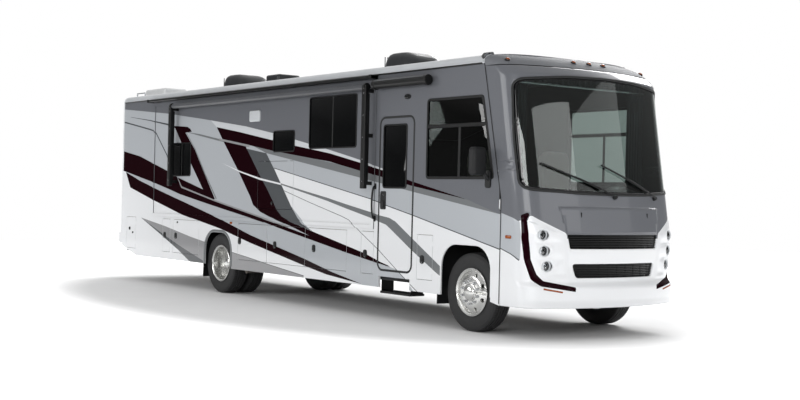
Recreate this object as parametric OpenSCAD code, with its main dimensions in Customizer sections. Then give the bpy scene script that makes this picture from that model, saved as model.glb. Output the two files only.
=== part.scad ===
// Class A motorhome on a front-engined truck chassis, with a full-wall slide-out room.
// +X points forward, +Y to the driver's side, +Z up. The origin is on the ground,
// below the middle of the whole vehicle. Millimetres.

/* [Overall] */
// Width over the side walls
body_w = 2570; // [2000:10:3100]
// How far each mirror stands out past its side wall
mirror_reach = 295; // [220:5:400]
// Front axle to rear axle
wheelbase = 6400; // [6200:10:7800]
// Front axle to the face of the bumper
front_overhang = 1400; // [1300:10:1500]
// Rear axle to the back of the ladder
rear_overhang = 3960; // [3900:10:4800]
// Height of the side walls' top edge
wall_top = 3300; // [3270:10:3700]
// Height of the seam between walls and skirts, which is also the floor
seam_z = 1200; // [1190:5:1260]
// Height of the skirts' bottom edge
skirt_z = 424; // [380:2:440]
// Rise of the roof from the wall's top edge to its crown
roof_rise = 150; // [130:5:220]

/* [Walls] */
// Thickness of the side walls, rear wall and slide-out walls
wall_t = 50; // [30:1:60]
// Thickness of the skirts and their doors
skirt_t = 30; // [18:1:36]
// Thickness of the floor
floor_t = 90; // [60:5:95]
// Thickness of the moulded front cap
cap_t = 36; // [20:1:50]
// Thickness of the windscreen, which is also how deep the grille is set in
glass_t = 26; // [12:1:30]
// Gap round every door and lid
door_gap = 6; // [5:0.5:9]
// Radius of the roof's long edges
roof_r = 120; // [80:5:140]

/* [Front cap] */
// Radius of the cap's bowed front, seen from above
bow_r = 2940; // [2600:20:3500]
// Radius of the cap's corners, seen from above
corner_r = 280; // [200:10:320]
// Backward lean of the windscreen, in degrees
lean = 9.7; // [6:0.1:12]
// Height of the windscreen's lower edge
screen_z = 1790; // [1750:5:1850]
// Height of the windscreen's upper edge at the middle
screen_top = 3150; // [3000:5:3160]
// Half the width of the front lid
hood_half = 845; // [700:5:880]
// Height of the front lid's upper edge
hood_top = 1584; // [1500:2:1600]
// Height of the front lid's lower edge
hood_low = 1272; // [1265:1:1350]
// How far the bumper stands out past the face above it
bumper_step = 60; // [40:1:80]
// Height of the bumper's upper edge
bumper_top = 660; // [600:5:700]

/* [Wheels] */
// Outside diameter of the tyres
tyre_d = 980; // [810:5:1000]
// Width of the tyres
tyre_w = 255; // [210:5:260]
// Diameter of the rims' bead seats
rim_d = 571.5; // [480:0.5:600]
// Middle of a front tyre, in from the side wall
front_inset = 205; // [190:1:230]
// Middle of an outer rear tyre, in from the side wall
rear_inset = 188; // [180:1:220]
// Distance between the twin tyres' middles
twin_gap = 320; // [300:2:340]

/* [Slide-out room] */
// Rear end of the room, behind the rear axle
room_back = 2450; // [2000:10:2600]
// Height of the room's underside
room_z = 1240; // [1232:1:1300]
// Depth of the room's end walls
room_depth = 700; // [500:10:760]
// How far the room's top stays below the wall's top edge
room_head = 100; // [80:5:200]

/* [Entry] */
// Front edge of the entry door, behind the front axle
door_front = 1120; // [1100:5:1200]
// Width of the entry door
door_w = 770; // [640:5:800]
// Height of the entry door's lower edge
door_z = 650; // [640:5:680]
// Height of the entry door's upper edge
door_top = 2720; // [2600:10:2760]

/* [Luggage bays] */
// Lower edge of the luggage doors
bay_door_z = 590; // [570:5:620]
// Upper edge of the luggage doors
bay_door_top = 1163; // [1100:1:1180]
// Underside of the luggage bays
bay_z = 530; // [500:5:560]
// Wall thickness of the luggage bays
bay_t = 15; // [8:1:20]

/* [Chassis] */
// Distance between the outsides of the two rails
rail_span = 870; // [760:10:880]
// Height of a rail's section
rail_h = 240; // [200:5:260]
// Height of the rails' underside
rail_z = 680; // [660:5:700]
// Inside of the hitch receiver's square tube
hitch_in = 51; // [40:1:63]
// Diameter of the hitch pin's hole
hitch_pin_d = 16.4; // [12:0.1:18]

/* [Hidden] */
$fn = 64;

grey = "#65676c";
silver = "#aeb2b6";
black = "#17181a";
glass = "#1b2025";
steel = "#3c3f42";

// Places along the length
front_x = (rear_overhang + wheelbase - front_overhang) / 2;
rear_x = front_x - wheelbase;
back_x = rear_x - rear_overhang;
half_w = body_w / 2;
half_in = half_w - wall_t;
rear_wall_x = back_x + 140;
wall_back = rear_wall_x + wall_t;

// The seam between side wall and front cap runs upright, then leans back
seam_x = front_x + 605;
seam_bend = 1638;
seam_slope = 0.217;
function seam_at(z) = seam_x - max(0, z - seam_bend) * seam_slope;

// The bowed front, from above
bumper_x = front_x + front_overhang;
nose_x = bumper_x - bumper_step;
nose_z = 1250;
function bow_at(x, y, inset = 0) = x - bow_r + sqrt(pow(bow_r - inset, 2) - y * y);

crown_z = wall_top + roof_rise;
edge_top = wall_top + roof_r;
flat_half = half_w - roof_r;
crown_drop = crown_z - edge_top;
crown_r = (flat_half * flat_half + crown_drop * crown_drop) / (2 * crown_drop);
function roof_at(y) = crown_z - crown_r + sqrt(crown_r * crown_r - y * y);
brow_r = 1014;
brow_x = front_x + 300;

tyre_r = tyre_d / 2;
rim_r = rim_d / 2;
front_y = half_w - front_inset;
rear_out_y = half_w - rear_inset;
rear_in_y = rear_out_y - twin_gap;
kingpin_y = front_y - 180;
kingpin_r = 20;
pin_fit = 0.3;

// Wheel arches: reach in front of and behind the axle, and height
arch_front = tyre_r - 38;
arch_back = tyre_r + 29;
arch_top = tyre_d + 100;
rear_arch_half = tyre_r - 30;
rear_arch_top = tyre_d + 37;

door_x1 = front_x - door_front;
door_x0 = door_x1 - door_w;
room_x1 = door_x0 - 130;
room_x0 = rear_x - room_back;
room_top = wall_top - room_head;
room_gap = 8;
flange_w = 34;
flange_t = 14;
floor_z = seam_z - floor_t;
skirt_in = half_w - skirt_t;
bay_y1 = skirt_in - 10;
bay_y0 = rail_span / 2 + 110;
joist_h = 50;
joist_z = floor_z - joist_h;

// Luggage doors on the right side: [back, front] along X
fore_door = [door_x1 + 110, door_x1 + 430];
step_door = [door_x0 - 390, door_x0 - 100];
front_bay_door = [step_door[0] - 1440, step_door[0] - 360];
rear_bay_door = [rear_x + 670, rear_x + 1570];
mid_bay_door = [rear_bay_door[1] + 10, front_bay_door[0] - 6];
tail_bay_door = [rear_x - 1630, rear_x - 680];
tail_narrow_door = [tail_bay_door[0] - 420, tail_bay_door[0] - 130];
service_door = [rear_wall_x + 260, rear_wall_x + 650];
right_doors = [service_door, tail_narrow_door, tail_bay_door, rear_bay_door,
               mid_bay_door, front_bay_door, step_door, fore_door];
// Luggage doors on the left side: [back, front] along X
left_doors = [[tail_bay_door[0] - 60, tail_bay_door[1]],
              [rear_bay_door[0], rear_bay_door[1]],
              [front_bay_door[0], front_bay_door[1]]];

// Luggage bays on each side: [back, front] along X
right_bays = [[rear_wall_x + 200, service_door[1] + 60], [tail_narrow_door[0] - 40, rear_x - tyre_r - 100],
              [rear_x + tyre_r + 100, step_door[0] - 190], [step_door[0] - 160, step_door[1] + 40],
              [fore_door[0] - 40, front_x - tyre_r - 150]];
left_bays = [[left_doors[0][0] - 60, rear_x - tyre_r - 100], [left_doors[1][0] - 50, left_doors[2][1] + 60]];

// ---------- Small shapes that repeat ----------

module block(x0, x1, y0, y1, z0, z1) {
    translate([x0, y0, z0]) cube([x1 - x0, y1 - y0, z1 - z0]);
}

module rounded(x0, x1, z0, z1, r) {
    translate([x0 + r, z0]) square([x1 - x0 - 2 * r, z1 - z0]);
    translate([x0, z0 + r]) square([x1 - x0, z1 - z0 - 2 * r]);
    for (x = [x0 + r, x1 - r], z = [z0 + r, z1 - r]) translate([x, z]) circle(r);
}

// An outline in X and Z, as a plate on the right side between two distances from the middle
module right_plate(y0, y1) {
    translate([0, -y0, 0]) rotate([90, 0, 0]) linear_extrude(y1 - y0) children();
}

module left_plate(y0, y1) {
    mirror([0, 1, 0]) right_plate(y0, y1) children();
}

module both_sides() {
    children();
    mirror([0, 1, 0]) children();
}

// An outline in Y and Z, drawn out along X
module along_x(x0, x1) {
    translate([x0, 0, 0]) rotate([90, 0, 90]) linear_extrude(x1 - x0) children();
}

module rod_y(x, z, y0, y1, r) {
    translate([x, y0, z]) rotate([-90, 0, 0]) cylinder(h = y1 - y0, r = r);
}

module rod_x(y, z, x0, x1, r) {
    translate([x0, y, z]) rotate([0, 90, 0]) cylinder(h = x1 - x0, r = r);
}

// A straight round bar between two points
module bar(a, b, r) {
    d = b - a;
    translate(a) rotate([0, acos(d[2] / norm(d)), atan2(d[1], d[0])]) cylinder(h = norm(d), r = r);
}

// ---------- Body shell ----------

// Cross-section of the body and roof, in Y and Z
module coach_section(inset = 0) {
    top = wall_top + roof_r;
    difference() {
        union() {
            translate([-half_w + inset, 0]) square([body_w - 2 * inset, wall_top]);
            translate([-flat_half, 0]) square([2 * flat_half, top - inset]);
            for (s = [-1, 1]) translate([s * flat_half, wall_top]) circle(roof_r - inset);
            intersection() {
                translate([0, crown_z - crown_r]) circle(crown_r - inset, $fn = 256);
                translate([-flat_half, wall_top]) square([2 * flat_half, roof_rise]);
            }
        }
        translate([-half_w, -1]) square([body_w, 1]);
    }
}

module wall_outline() {
    polygon([
        [wall_back, seam_z], [seam_x, seam_z], [seam_x, seam_bend],
        [seam_at(wall_top), wall_top], [wall_back, wall_top]
    ]);
}

module cab_window_outline() {
    back = front_x - 865;
    low = 1885;
    high = 2920;
    r = 60;
    // The front edge leans back like the seam
    hull() {
        for (z = [low + r, high - r]) {
            translate([back + r, z]) circle(r, $fn = 32);
            translate([seam_at(z) - 75 - r, z]) circle(r, $fn = 32);
        }
    }
}

// Windows of the living space: [back, front, low, high]
left_windows = [
    [rear_x - 2300, rear_x - 1500, 1920, 2505], [rear_x + 300, rear_x + 1100, 2100, 2700],
    [rear_x + 2400, rear_x + 3700, 1950, 2700]
];
rear_right_window = [rear_x - 1720, rear_x - 1020, 1920, 2505];
room_windows = [
    rear_right_window, [room_x1 - 1660, room_x1 - 424, 2320, 3080],
    [room_x1 - 2680, room_x1 - 2050, 2287, 2620]
];
window_r = 50;

module window_outline(w, grow = 0) {
    rounded(w[0] - grow, w[1] + grow, w[2] - grow, w[3] + grow, window_r + grow);
}

module entry_outline(grow = 0) {
    rounded(door_x0 - grow, door_x1 + grow, door_z - grow, door_top + grow, 110 + grow);
}

module side_walls() {
    color(silver) {
        right_plate(half_in, half_w) difference() {
            wall_outline();
            cab_window_outline();
            entry_outline();
            translate([room_x0 - room_gap, room_z - room_gap])
                square([room_x1 - room_x0 + 2 * room_gap, room_top - room_z + 2 * room_gap]);
        }
        left_plate(half_in, half_w) difference() {
            wall_outline();
            cab_window_outline();
            for (w = left_windows) window_outline(w);
        }
    }
}

module side_windows() {
    color(glass) {
        both_sides() right_plate(half_w - 26, half_w - 4) cab_window_outline();
        left_plate(half_w - 26, half_w - 4) for (w = left_windows) window_outline(w);
    }
}

module rear_wall() {
    color(silver) difference() {
        along_x(rear_wall_x, wall_back) difference() {
            coach_section();
            translate([-half_w, 0]) square([body_w, skirt_z + 270]);
        }
    }
}

module roof() {
    gutter_t = 12;
    color("#c9ccce") {
        along_x(wall_back, seam_at(wall_top)) difference() {
            coach_section();
            translate([-half_w, 0]) square([body_w, wall_top]);
        }
        both_sides() block(wall_back + 20, seam_at(wall_top) - 20, half_w - 20, half_w + gutter_t,
                           wall_top, wall_top + 24);
    }
}

// Plan outline of the front: a bowed face with round corners
module bow_outline(x0, inset, back) {
    r = corner_r - inset;
    y = half_w - inset;
    big = bow_r - inset;
    cy = half_w - corner_r;
    cx = x0 - bow_r + sqrt(pow(bow_r - corner_r, 2) - cy * cy);
    touch = [cx + r * (cx - x0 + bow_r) / (bow_r - corner_r), cy + r * cy / (bow_r - corner_r)];
    intersection() {
        translate([x0 - bow_r, 0]) circle(big, $fn = 256);
        polygon([[x0 - bow_r, 0], [touch[0], touch[1]], [x0 + 10, touch[1]],
                 [x0 + 10, -touch[1]], [touch[0], -touch[1]]]);
    }
    polygon([[back, -cy], [cx, -cy], [touch[0], -touch[1]], [touch[0], touch[1]], [cx, cy], [back, cy]]);
    for (s = [-1, 1]) translate([cx, s * cy]) circle(r);
    translate([back, -y]) square([cx - back, 2 * y]);
}

module cap_mass(inset) {
    back = front_x - 300;
    rise = 2600;
    intersection() {
        union() {
            translate([0, 0, -10]) linear_extrude(bumper_top - inset + 10) bow_outline(bumper_x, inset, back);
            translate([0, 0, -10]) linear_extrude(nose_z) bow_outline(nose_x, inset, back);
            // The upper part leans back about the nose line and overlaps the lower one, leaving a fine ledge
            intersection() {
                translate([nose_x, 0, nose_z]) rotate([0, -lean, 0]) translate([-nose_x, 0, -150])
                    linear_extrude(rise) bow_outline(nose_x, inset, back);
                block(back - 400, bumper_x, -half_w - 1, half_w + 1, nose_z - 20, crown_z + 200);
            }
        }
        along_x(back - 10, bumper_x + 100) coach_section(inset);
        // Side view: the brow rolls back into the roof
        translate([0, half_w + 10, 0]) rotate([90, 0, 0]) linear_extrude(body_w + 20) {
            translate([back, -20]) square([brow_x - back, crown_z + 40]);
            translate([back, -20]) square([bumper_x + 60 - back, edge_top - brow_r + 20]);
            intersection() {
                translate([brow_x, edge_top + crown_drop - brow_r]) circle(brow_r - inset, $fn = 256);
                translate([brow_x, 0]) square([bumper_x + 60 - brow_x, crown_z + 40]);
            }
        }
    }
}

module screen_outline() {
    top_half = half_w - 110;
    low_half = half_w - 62;
    r = 90;
    hull() {
        for (s = [-1, 1]) {
            translate([s * (low_half - r), screen_z + r]) circle(r, $fn = 32);
            translate([s * (top_half - r), screen_top - 60 - r]) circle(r, $fn = 32);
        }
        translate([-400, screen_top - 30]) square([800, 10]);
    }
}

module grille_outline(grow = 0) {
    hull() {
        for (s = [-1, 1]) {
            translate([s * 748, 1205]) circle(38 + grow, $fn = 32);
            translate([s * 628, 765]) circle(32 + grow, $fn = 32);
        }
    }
}

lamp_places = [[1082, 1242], [1064, 1053], [1026, 873]];
lamp_r = 65;
cap_low = skirt_z - 46;
// How far forward the cap's skin lies at a distance from the middle, round corner included
corner_y = half_w - corner_r;
corner_x = nose_x - bow_r + sqrt(pow(bow_r - corner_r, 2) - corner_y * corner_y);
function cap_face(y) = corner_x + sqrt(corner_r * corner_r - pow(y - corner_y, 2));

module lamp_bores(r) {
    for (s = [-1, 1], p = lamp_places)
        rod_x(s * (p[0] * half_w / 1285), p[1], front_x + 900, bumper_x + 60, r);
}

marker_y = half_w - 115;
marker_r = 34;

// Clearance lamps on the brow: upright drums
module marker_bores(r) {
    for (y = [-marker_y, -marker_y / 4.5, 0, marker_y / 4.5, marker_y]) {
        drop = abs(y) > half_w / 2 ? 40 : 0;
        translate([brow_x + 200, y, crown_z - 100 - drop]) cylinder(h = 103, r = r);
    }
}

module front_cap() {
    color(silver) difference() {
        cap_mass(0);
        cap_mass(cap_t);
        // Open to the cab behind the seam
        translate([0, half_w + 1, 0]) rotate([90, 0, 0]) linear_extrude(body_w + 2)
            polygon([[front_x - 400, -20], [seam_x, -20], [seam_x, seam_bend], [seam_at(wall_top), wall_top],
                     [seam_at(wall_top), crown_z + 50], [front_x - 400, crown_z + 50]]);
        marker_bores(marker_r + pin_fit);
        block(front_x, bumper_x + 100, -half_w, half_w, -20, cap_low);
        along_x(front_x + 640, bumper_x + 100) screen_outline();
        along_x(front_x + 1000, bumper_x + 100) {
            translate([-hood_half, hood_low]) square([2 * hood_half, hood_top - hood_low]);
            grille_outline();
        }
        lamp_bores(lamp_r);
    }
}

module windshield() {
    color(glass) difference() {
        intersection() {
            cap_mass(0);
            along_x(front_x + 645, bumper_x + 90) screen_outline();
        }
        cap_mass(glass_t);
    }
}

module front_lid() {
    color(silver) intersection() {
        difference() {
            cap_mass(0);
            cap_mass(cap_t - 10);
        }
        along_x(front_x + 1010, bumper_x + 90)
            union() {
                translate([-hood_half + door_gap, hood_low + door_gap])
                    square([2 * (hood_half - door_gap), hood_top - hood_low - 2 * door_gap]);
                for (s = [-1, 1]) translate([s * 571 - 30, hood_top - 40]) square([60, 40 - pin_fit]);
            }
    }
}

module grille() {
    color(black) difference() {
        intersection() {
            cap_mass(glass_t);
            along_x(front_x + 1010, bumper_x + 90) grille_outline();
        }
        cap_mass(cap_t);
    }
}

module lamps() {
    // Headlamps, each a short drum seated in its bore
    color("#d7dde2") for (s = [-1, 1], p = lamp_places) {
        y = p[0] * half_w / 1285;
        face_x = cap_face(y);
        rod_x(s * y, p[1], face_x - 90, face_x - 12, lamp_r);
    }
    color("#e08a1e") marker_bores(marker_r);
    // Tail lamps and rear markers
    color("#7d1015") for (s = [-1, 1], z = [1000, 1180])
        rod_x(s * (half_w - 160), z, rear_wall_x - 22, rear_wall_x, 70);
    color("#7d1015") for (y = [-marker_y, -160, 0, 160, marker_y])
        block(rear_wall_x - 18, rear_wall_x, y - 40, y + 40, wall_top - 40, wall_top - 10);
}

// How far forward the leaning face lies, at a distance from the middle and a height
function screen_face(y, z) = bow_at(nose_x, y) - (z - nose_z) * tan(lean);

module wipers() {
    arm = 640;
    low = 1698;
    high = 1745;
    boss_r = 24;
    color(black) for (y = [-40, 780]) {
        x = screen_face(y, low);
        tip = screen_face(y - arm, high);
        slope = norm([tan(lean), y / bow_r]);
        rod_x(y, low, x + boss_r * slope + pin_fit, x + 50, boss_r);
        bar([x + 36, y, low], [tip + 30, y - arm, high], 11);
        bar([screen_face(y - arm + 300, high) + 24, y - arm + 300, high],
            [screen_face(y - arm - 200, high) + 24, y - arm - 200, high], 13);
    }
}

module mirrors() {
    head_y0 = half_w + 85;
    head_y1 = half_w + mirror_reach;
    x = front_x + 330;
    color(black) both_sides() {
        block(x, x + 110, head_y0, head_y1, 1930, 2270);
        block(x + 20, x + 70, half_w, head_y0, 1950, 1985);
        block(x - 10, x + 90, half_w, half_w + 20, 1780, 1990);
    }
}

module skirt_edge() {
    tail = wall_back;
    difference() {
        polygon([
            [tail, seam_z], [seam_x, seam_z], [seam_x, skirt_z - 46], [front_x + arch_front, skirt_z - 14],
            [front_x - arch_back, skirt_z], [rear_x + rear_arch_half, skirt_z],
            [rear_x - rear_arch_half, skirt_z + 34], [rear_x - 3140, skirt_z + 34], [tail, skirt_z + 198]
        ]);
        // Front arch: straight sides, rounded head
        rounded(front_x - arch_back, front_x + arch_front, -400, arch_top, 300);
        rounded(rear_x - rear_arch_half, rear_x + rear_arch_half, -400, rear_arch_top, 330);
    }
}

// Strips behind the gap where two doors meet
strip_gap = 5;
strip_t = 4.7;

module door_strips() {
    for (d = [rear_bay_door, mid_bay_door]) {
        low = bay_door_z - 32;
        high = bay_door_top + 26;
        block(d[1] - 30, d[1] + 36, -skirt_in + strip_gap, -skirt_in + strip_gap + strip_t, low, high);
        for (z = [low, bay_door_top + door_gap + 2]) block(d[1] - 30, d[1] + 36, -skirt_in - 1, -skirt_in + strip_gap + 1, z, z + 18);
    }
}

// Hinge tabs on a door's front edge, at the given heights
module hinge_tabs(x, heights) {
    for (z = heights) translate([x - 20, z - 30]) square([20 + door_gap - pin_fit, 60]);
}

module bay_opening(d, grow = 0) {
    translate([d[0] - grow, bay_door_z - grow])
        square([d[1] - d[0] + 2 * grow, bay_door_top - bay_door_z + 2 * grow]);
}

module skirts() {
    color(silver) {
        right_plate(skirt_in, half_w) difference() {
            skirt_edge();
            for (d = right_doors) bay_opening(d, door_gap);
            entry_outline();
            // Room for the folding step below the door
            translate([door_x0 + 40, 0]) square([door_w - 80, door_z - 80]);
        }
        door_strips();
        left_plate(skirt_in, half_w) difference() {
            skirt_edge();
            for (d = left_doors) bay_opening(d, door_gap);
        }
    }
}

// ---------- Chassis ----------

module chassis_frame() {
    web = 8;
    y1 = rail_span / 2;
    y0 = y1 - 76;
    x0 = rear_wall_x + 120;
    x1 = front_x + 1080;
    top = rail_z + rail_h;
    color(steel) {
        both_sides() difference() {
            block(x0, x1, y0, y1, rail_z, top);
            block(x0 - 1, x1 + 1, y0 - 1, y1 - web, rail_z + web, top - web);
        }
        for (x = [x0 + 60, rear_x - 1150, rear_x - 420, rear_x + 620, (front_x + rear_x) / 2,
                  front_x - 1500, front_x + 700, x1 - 60])
            block(x - 30, x + 30, -y1 + web, y1 - web, rail_z + 90, rail_z + 150);
        // Joists that carry the floor and the luggage bays
        for (x = concat([for (w = right_bays) (w[0] + w[1]) / 2], [rear_x - 630, rear_x + 700, front_x + 645])) {
            block(x - 20, x + 20, -half_in + 60, half_in - 60, joist_z, floor_z);
            both_sides() block(x - 20, x + 20, y0 + 10, y1, top + pin_fit, joist_z - pin_fit);
        }
    }
}

module coach_floor() {
    well_y = half_w - 580;
    well_t = 16;
    x0 = door_x0 - 10;
    x1 = door_x1 + 10;
    mid_z = (door_z + seam_z) / 2;
    color("#8a7c68") {
        difference() {
            block(wall_back, seam_x + 330, -bay_y1, bay_y1, floor_z, seam_z);
            block(x0, x1, -bay_y1 - 1, -well_y, floor_z - 1, seam_z + 1);
            // The front corners stay inside the cap's round corners
            block(seam_x, seam_x + 400, bay_y1 - 110, bay_y1 + 1, floor_z - 1, seam_z + 1);
            block(seam_x, seam_x + 400, -bay_y1 - 1, -bay_y1 + 110, floor_z - 1, seam_z + 1);
        }
        // Runners that the slide-out room rests on
        for (x = [room_x0 + 600, (room_x0 + room_x1) / 2, room_x1 - 600])
            block(x - 60, x + 60, -half_in + 6, -half_w + room_depth - 60, seam_z - 1, room_z - pin_fit);
        // Step well inside the entry door
        difference() {
            block(x0, x1, -half_in + 6, -well_y, door_z - 10, seam_z);
            difference() {
                block(x0 + well_t, x1 - well_t, -half_in - 1, -well_y - well_t, door_z - 10 + well_t, seam_z + 1);
                block(x0, x1, -half_in + 220, -well_y, door_z - 20, mid_z);
            }
        }
    }
}

module wheel_wells() {
    t = 8;
    top = floor_z;
    front_low = skirt_z + 90;
    nose = tyre_r + 110;
    color(black) both_sides() {
        // Front well, wide enough for the steered wheel
        difference() {
            block(front_x - tyre_r - 130, front_x + nose, half_w - 700, skirt_in - 0.3, front_low, top);
            block(front_x - tyre_r - 130 + t, front_x + nose - t, half_w - 701, skirt_in, front_low - 1, top - t);
        }
        difference() {
            block(rear_x - tyre_r - 70, rear_x + tyre_r + 70, half_w - 690, skirt_in - 0.3, front_low, top);
            block(rear_x - tyre_r - 70 + t, rear_x + tyre_r + 70 - t, half_w - 691, skirt_in, front_low - 1, top - t);
        }
        // Flaps behind the wheels
        block(rear_x - tyre_r - 70 - t, rear_x - tyre_r - 70, rear_in_y, half_w - 40, skirt_z - 190, front_low + 120);
        block(front_x - tyre_r - 130 - t, front_x - tyre_r - 130, kingpin_y, half_w - 40, skirt_z - 130, front_low + 90);
    }
}

module storage_bays() {
    color("#3a3a3c") {
        for (w = right_bays) bay_box(w);
        mirror([0, 1, 0]) for (w = left_bays) bay_box(w);
    }
}

// One open-sided sheet-metal bay on the right side
module bay_box(w) {
    difference() {
        block(w[0], w[1], -bay_y1, -bay_y0, bay_z, joist_z);
        block(w[0] + bay_t, w[1] - bay_t, -bay_y1 - 1, -bay_y0 - bay_t, bay_z + bay_t, joist_z - 4);
    }
}

diff_r = 185;

module axles() {
    beam_z = tyre_r - 45;
    spring_y = rail_span / 2 - 38;
    rear_spring_y = rail_span / 2 + 58;
    front_reach = 700;
    rear_reach = 760;
    color(steel) {
        // Front beam with its kingpin eyes
        difference() {
            union() {
                block(front_x - 38, front_x + 38, -kingpin_y, kingpin_y, beam_z - 45, beam_z + 45);
                for (s = [-1, 1]) translate([front_x, s * kingpin_y, beam_z - 45]) cylinder(h = 90, r = 48);
            }
            for (s = [-1, 1])
                translate([front_x, s * kingpin_y, beam_z - 50]) cylinder(h = 100, r = kingpin_r + pin_fit);
        }
        both_sides() {
            block(front_x - front_reach, front_x + front_reach, spring_y - 38, spring_y + 38, beam_z + 45, beam_z + 100);
            for (x = [front_x - front_reach + 25, front_x + front_reach - 25])
                block(x - 30, x + 30, spring_y - 34, spring_y + 34, beam_z + 60, rail_z);
            block(front_x - 60, front_x + 60, spring_y - 38, spring_y + 38, beam_z + 90, beam_z + 130);
        }
        // Rear axle with its differential
        rod_y(rear_x, tyre_r, -rear_in_y + 90, rear_in_y - 90, 66);
        rod_y(rear_x, tyre_r, -rear_out_y + 30, rear_out_y - 30, 45);
        translate([rear_x, 0, tyre_r]) sphere(diff_r);
        both_sides() {
            block(rear_x - rear_reach, rear_x + rear_reach, rear_spring_y - 36, rear_spring_y + 36, tyre_r + 60, tyre_r + 120);
            for (x = [rear_x - rear_reach + 30, rear_x + rear_reach - 30])
                block(x - 30, x + 30, rail_span / 2, rear_spring_y + 34, tyre_r + 80, rail_z + 120);
        }
    }
}

module engine_block() {
    color("#55585c") {
        block(front_x - 380, front_x + 420, -300, 300, 570, floor_z);
        rod_x(0, 720, front_x - 1150, front_x - 380, 150);
        // Radiator, carried between the rails
        block(front_x + 790, front_x + 860, -rail_span / 2 + 80, rail_span / 2 - 80, 600, floor_z);
        both_sides() block(front_x + 800, front_x + 850, rail_span / 2 - 80, rail_span / 2 - 8, 720, 780);
    }
}

module drive_shaft() {
    r = 45;
    start = [front_x - 1150, 0, 720];
    middle = [rear_x, 0, tyre_r];
    along = (start - middle) / norm(start - middle);
    color("#5c5f62") bar(start - along * (r * along[2] + pin_fit), middle + along * (diff_r + pin_fit), r);
}

module under_tanks() {
    color("#2a2b2d") {
        block(rear_x - 2600, rear_x - 1300, -330, 330, 560, rail_z + 90);
        both_sides() for (x = [rear_x - 2300, rear_x - 1600])
            block(x - 30, x + 30, 330, rail_span / 2 - 8, rail_z + 8, rail_z + 60);
        block(rear_x + 900, rear_x + 2700, -330, 330, rail_z + 170, joist_z);
    }
}

module exhaust() {
    y = -250;
    z = 600;
    r = 45;
    elbow = 5;
    a = [front_x - 380, y, z];
    b = [rear_x + 1150, y, z];
    color("#6f6a64") {
        bar(a, b, r);
        rod_x(y, z, (front_x + rear_x) / 2 - 400, (front_x + rear_x) / 2 + 500, 100);
        translate(b) sphere(r + elbow);
        bar(b, [rear_x + 900, -bay_y0 + 10, z - 130], r);
        translate([rear_x + 900, -bay_y0 + 10, z - 130]) sphere(r + elbow);
        bar([rear_x + 900, -bay_y0 + 10, z - 130], [rear_x + 900, -skirt_in + 5, z - 180], r);
    }
}

module hitch_receiver() {
    outer = hitch_in + 12.5;
    z = rail_z - outer / 2;
    x0 = back_x + 30;
    x1 = rear_wall_x + 420;
    color(steel) difference() {
        union() {
            block(x0, x1, -outer / 2, outer / 2, z - outer / 2, z + outer / 2);
            block(x0, x0 + 20, -outer / 2 - 8, outer / 2 + 8, z - outer / 2 - 8, z + outer / 2 + 6);
            block(rear_wall_x + 160, rear_wall_x + 240, -rail_span / 2, rail_span / 2, z - outer / 2, rail_z);
        }
        block(x0 - 1, x1 + 1, -hitch_in / 2, hitch_in / 2, z - hitch_in / 2, z + hitch_in / 2);
        rod_y(x0 + 65, z, -outer, outer, hitch_pin_d / 2);
    }
}

module ladder() {
    r = 12.5;
    x = back_x + r;
    y0 = -half_w + 330;
    y1 = y0 + 300;
    top = crown_z + 60;
    color("#b9bcbe") {
        for (y = [y0, y1]) {
            translate([x, y, 1000]) cylinder(h = top - 1000, r = r);
            translate([x, y, top]) sphere(r);
            rod_x(y, top, x, wall_back + 160, r);
            translate([wall_back + 160, y, top]) sphere(r);
            foot = roof_at(abs(y) - r) + pin_fit;
            translate([wall_back + 160, y, foot]) cylinder(h = top - foot, r = r);
            for (z = [1040, 2100, 3050]) rod_x(y, z, x, rear_wall_x, r - 2);
        }
        for (i = [0:7]) rod_y(x, 1120 + i * 290, y0, y1, r - 1);
    }
}

module rear_bumper() {
    color(silver) difference() {
        block(back_x + 20, rear_wall_x, -half_w + 15, half_w - 15, rail_z - 16, rail_z + 174);
        block(back_x, rear_wall_x + 1, -180, 180, rail_z - 20, rail_z + 44);
    }
}

// ---------- Roof equipment ----------

// A domed air conditioner shroud: low sides, a long slope at the front
module shroud(x, length) {
    w = 660;
    h = 330;
    r = 60;
    translate([x, 0, crown_z + pin_fit]) intersection() {
        translate([0, w / 2, 0]) rotate([90, 0, 0]) linear_extrude(w) hull() {
            translate([r, 0]) square([length - 2 * r, 10]);
            translate([60 + r, h - r]) circle(r, $fn = 32);
            translate([length - 330, h - r]) circle(r, $fn = 32);
            translate([length - r, 120]) circle(r, $fn = 32);
            translate([r, 150]) circle(r, $fn = 32);
        }
        along_x(-10, length + 10) hull() {
            translate([-w / 2 + 30, 0]) square([w - 60, 10]);
            for (s = [-1, 1]) {
                translate([s * (w / 2 - r - 40), h - r]) circle(r, $fn = 32);
                translate([s * (w / 2 - r), 100]) circle(r, $fn = 32);
            }
        }
    }
}

module air_conditioners() {
    color(black) {
        shroud(front_x - 3240, 740);
        shroud(rear_x - 1800, 740);
    }
}

module roof_vents() {
    base = crown_z + pin_fit;
    dish_y = 300;
    dish_r = 120;
    pipe_y = -620;
    pipe_r = 25;
    color(black) {
        block(rear_x + 750, rear_x + 1200, -920, -470, roof_at(470) + pin_fit, base + 120);
        block(rear_x + 2400, rear_x + 2800, -200, 200, base, base + 84);
    }
    color("#e4e6e6") {
        block(rear_x - 3560, rear_x - 2700, -1000, -500, roof_at(500) + pin_fit, base + 114);
        translate([front_x - 3650, dish_y, roof_at(dish_y - dish_r) + pin_fit]) cylinder(h = 54, r = dish_r);
        translate([rear_x - 2350, pipe_y, roof_at(abs(pipe_y) - pipe_r) + pin_fit]) cylinder(h = 50, r = pipe_r);
    }
}

// ---------- Awnings ----------

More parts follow.
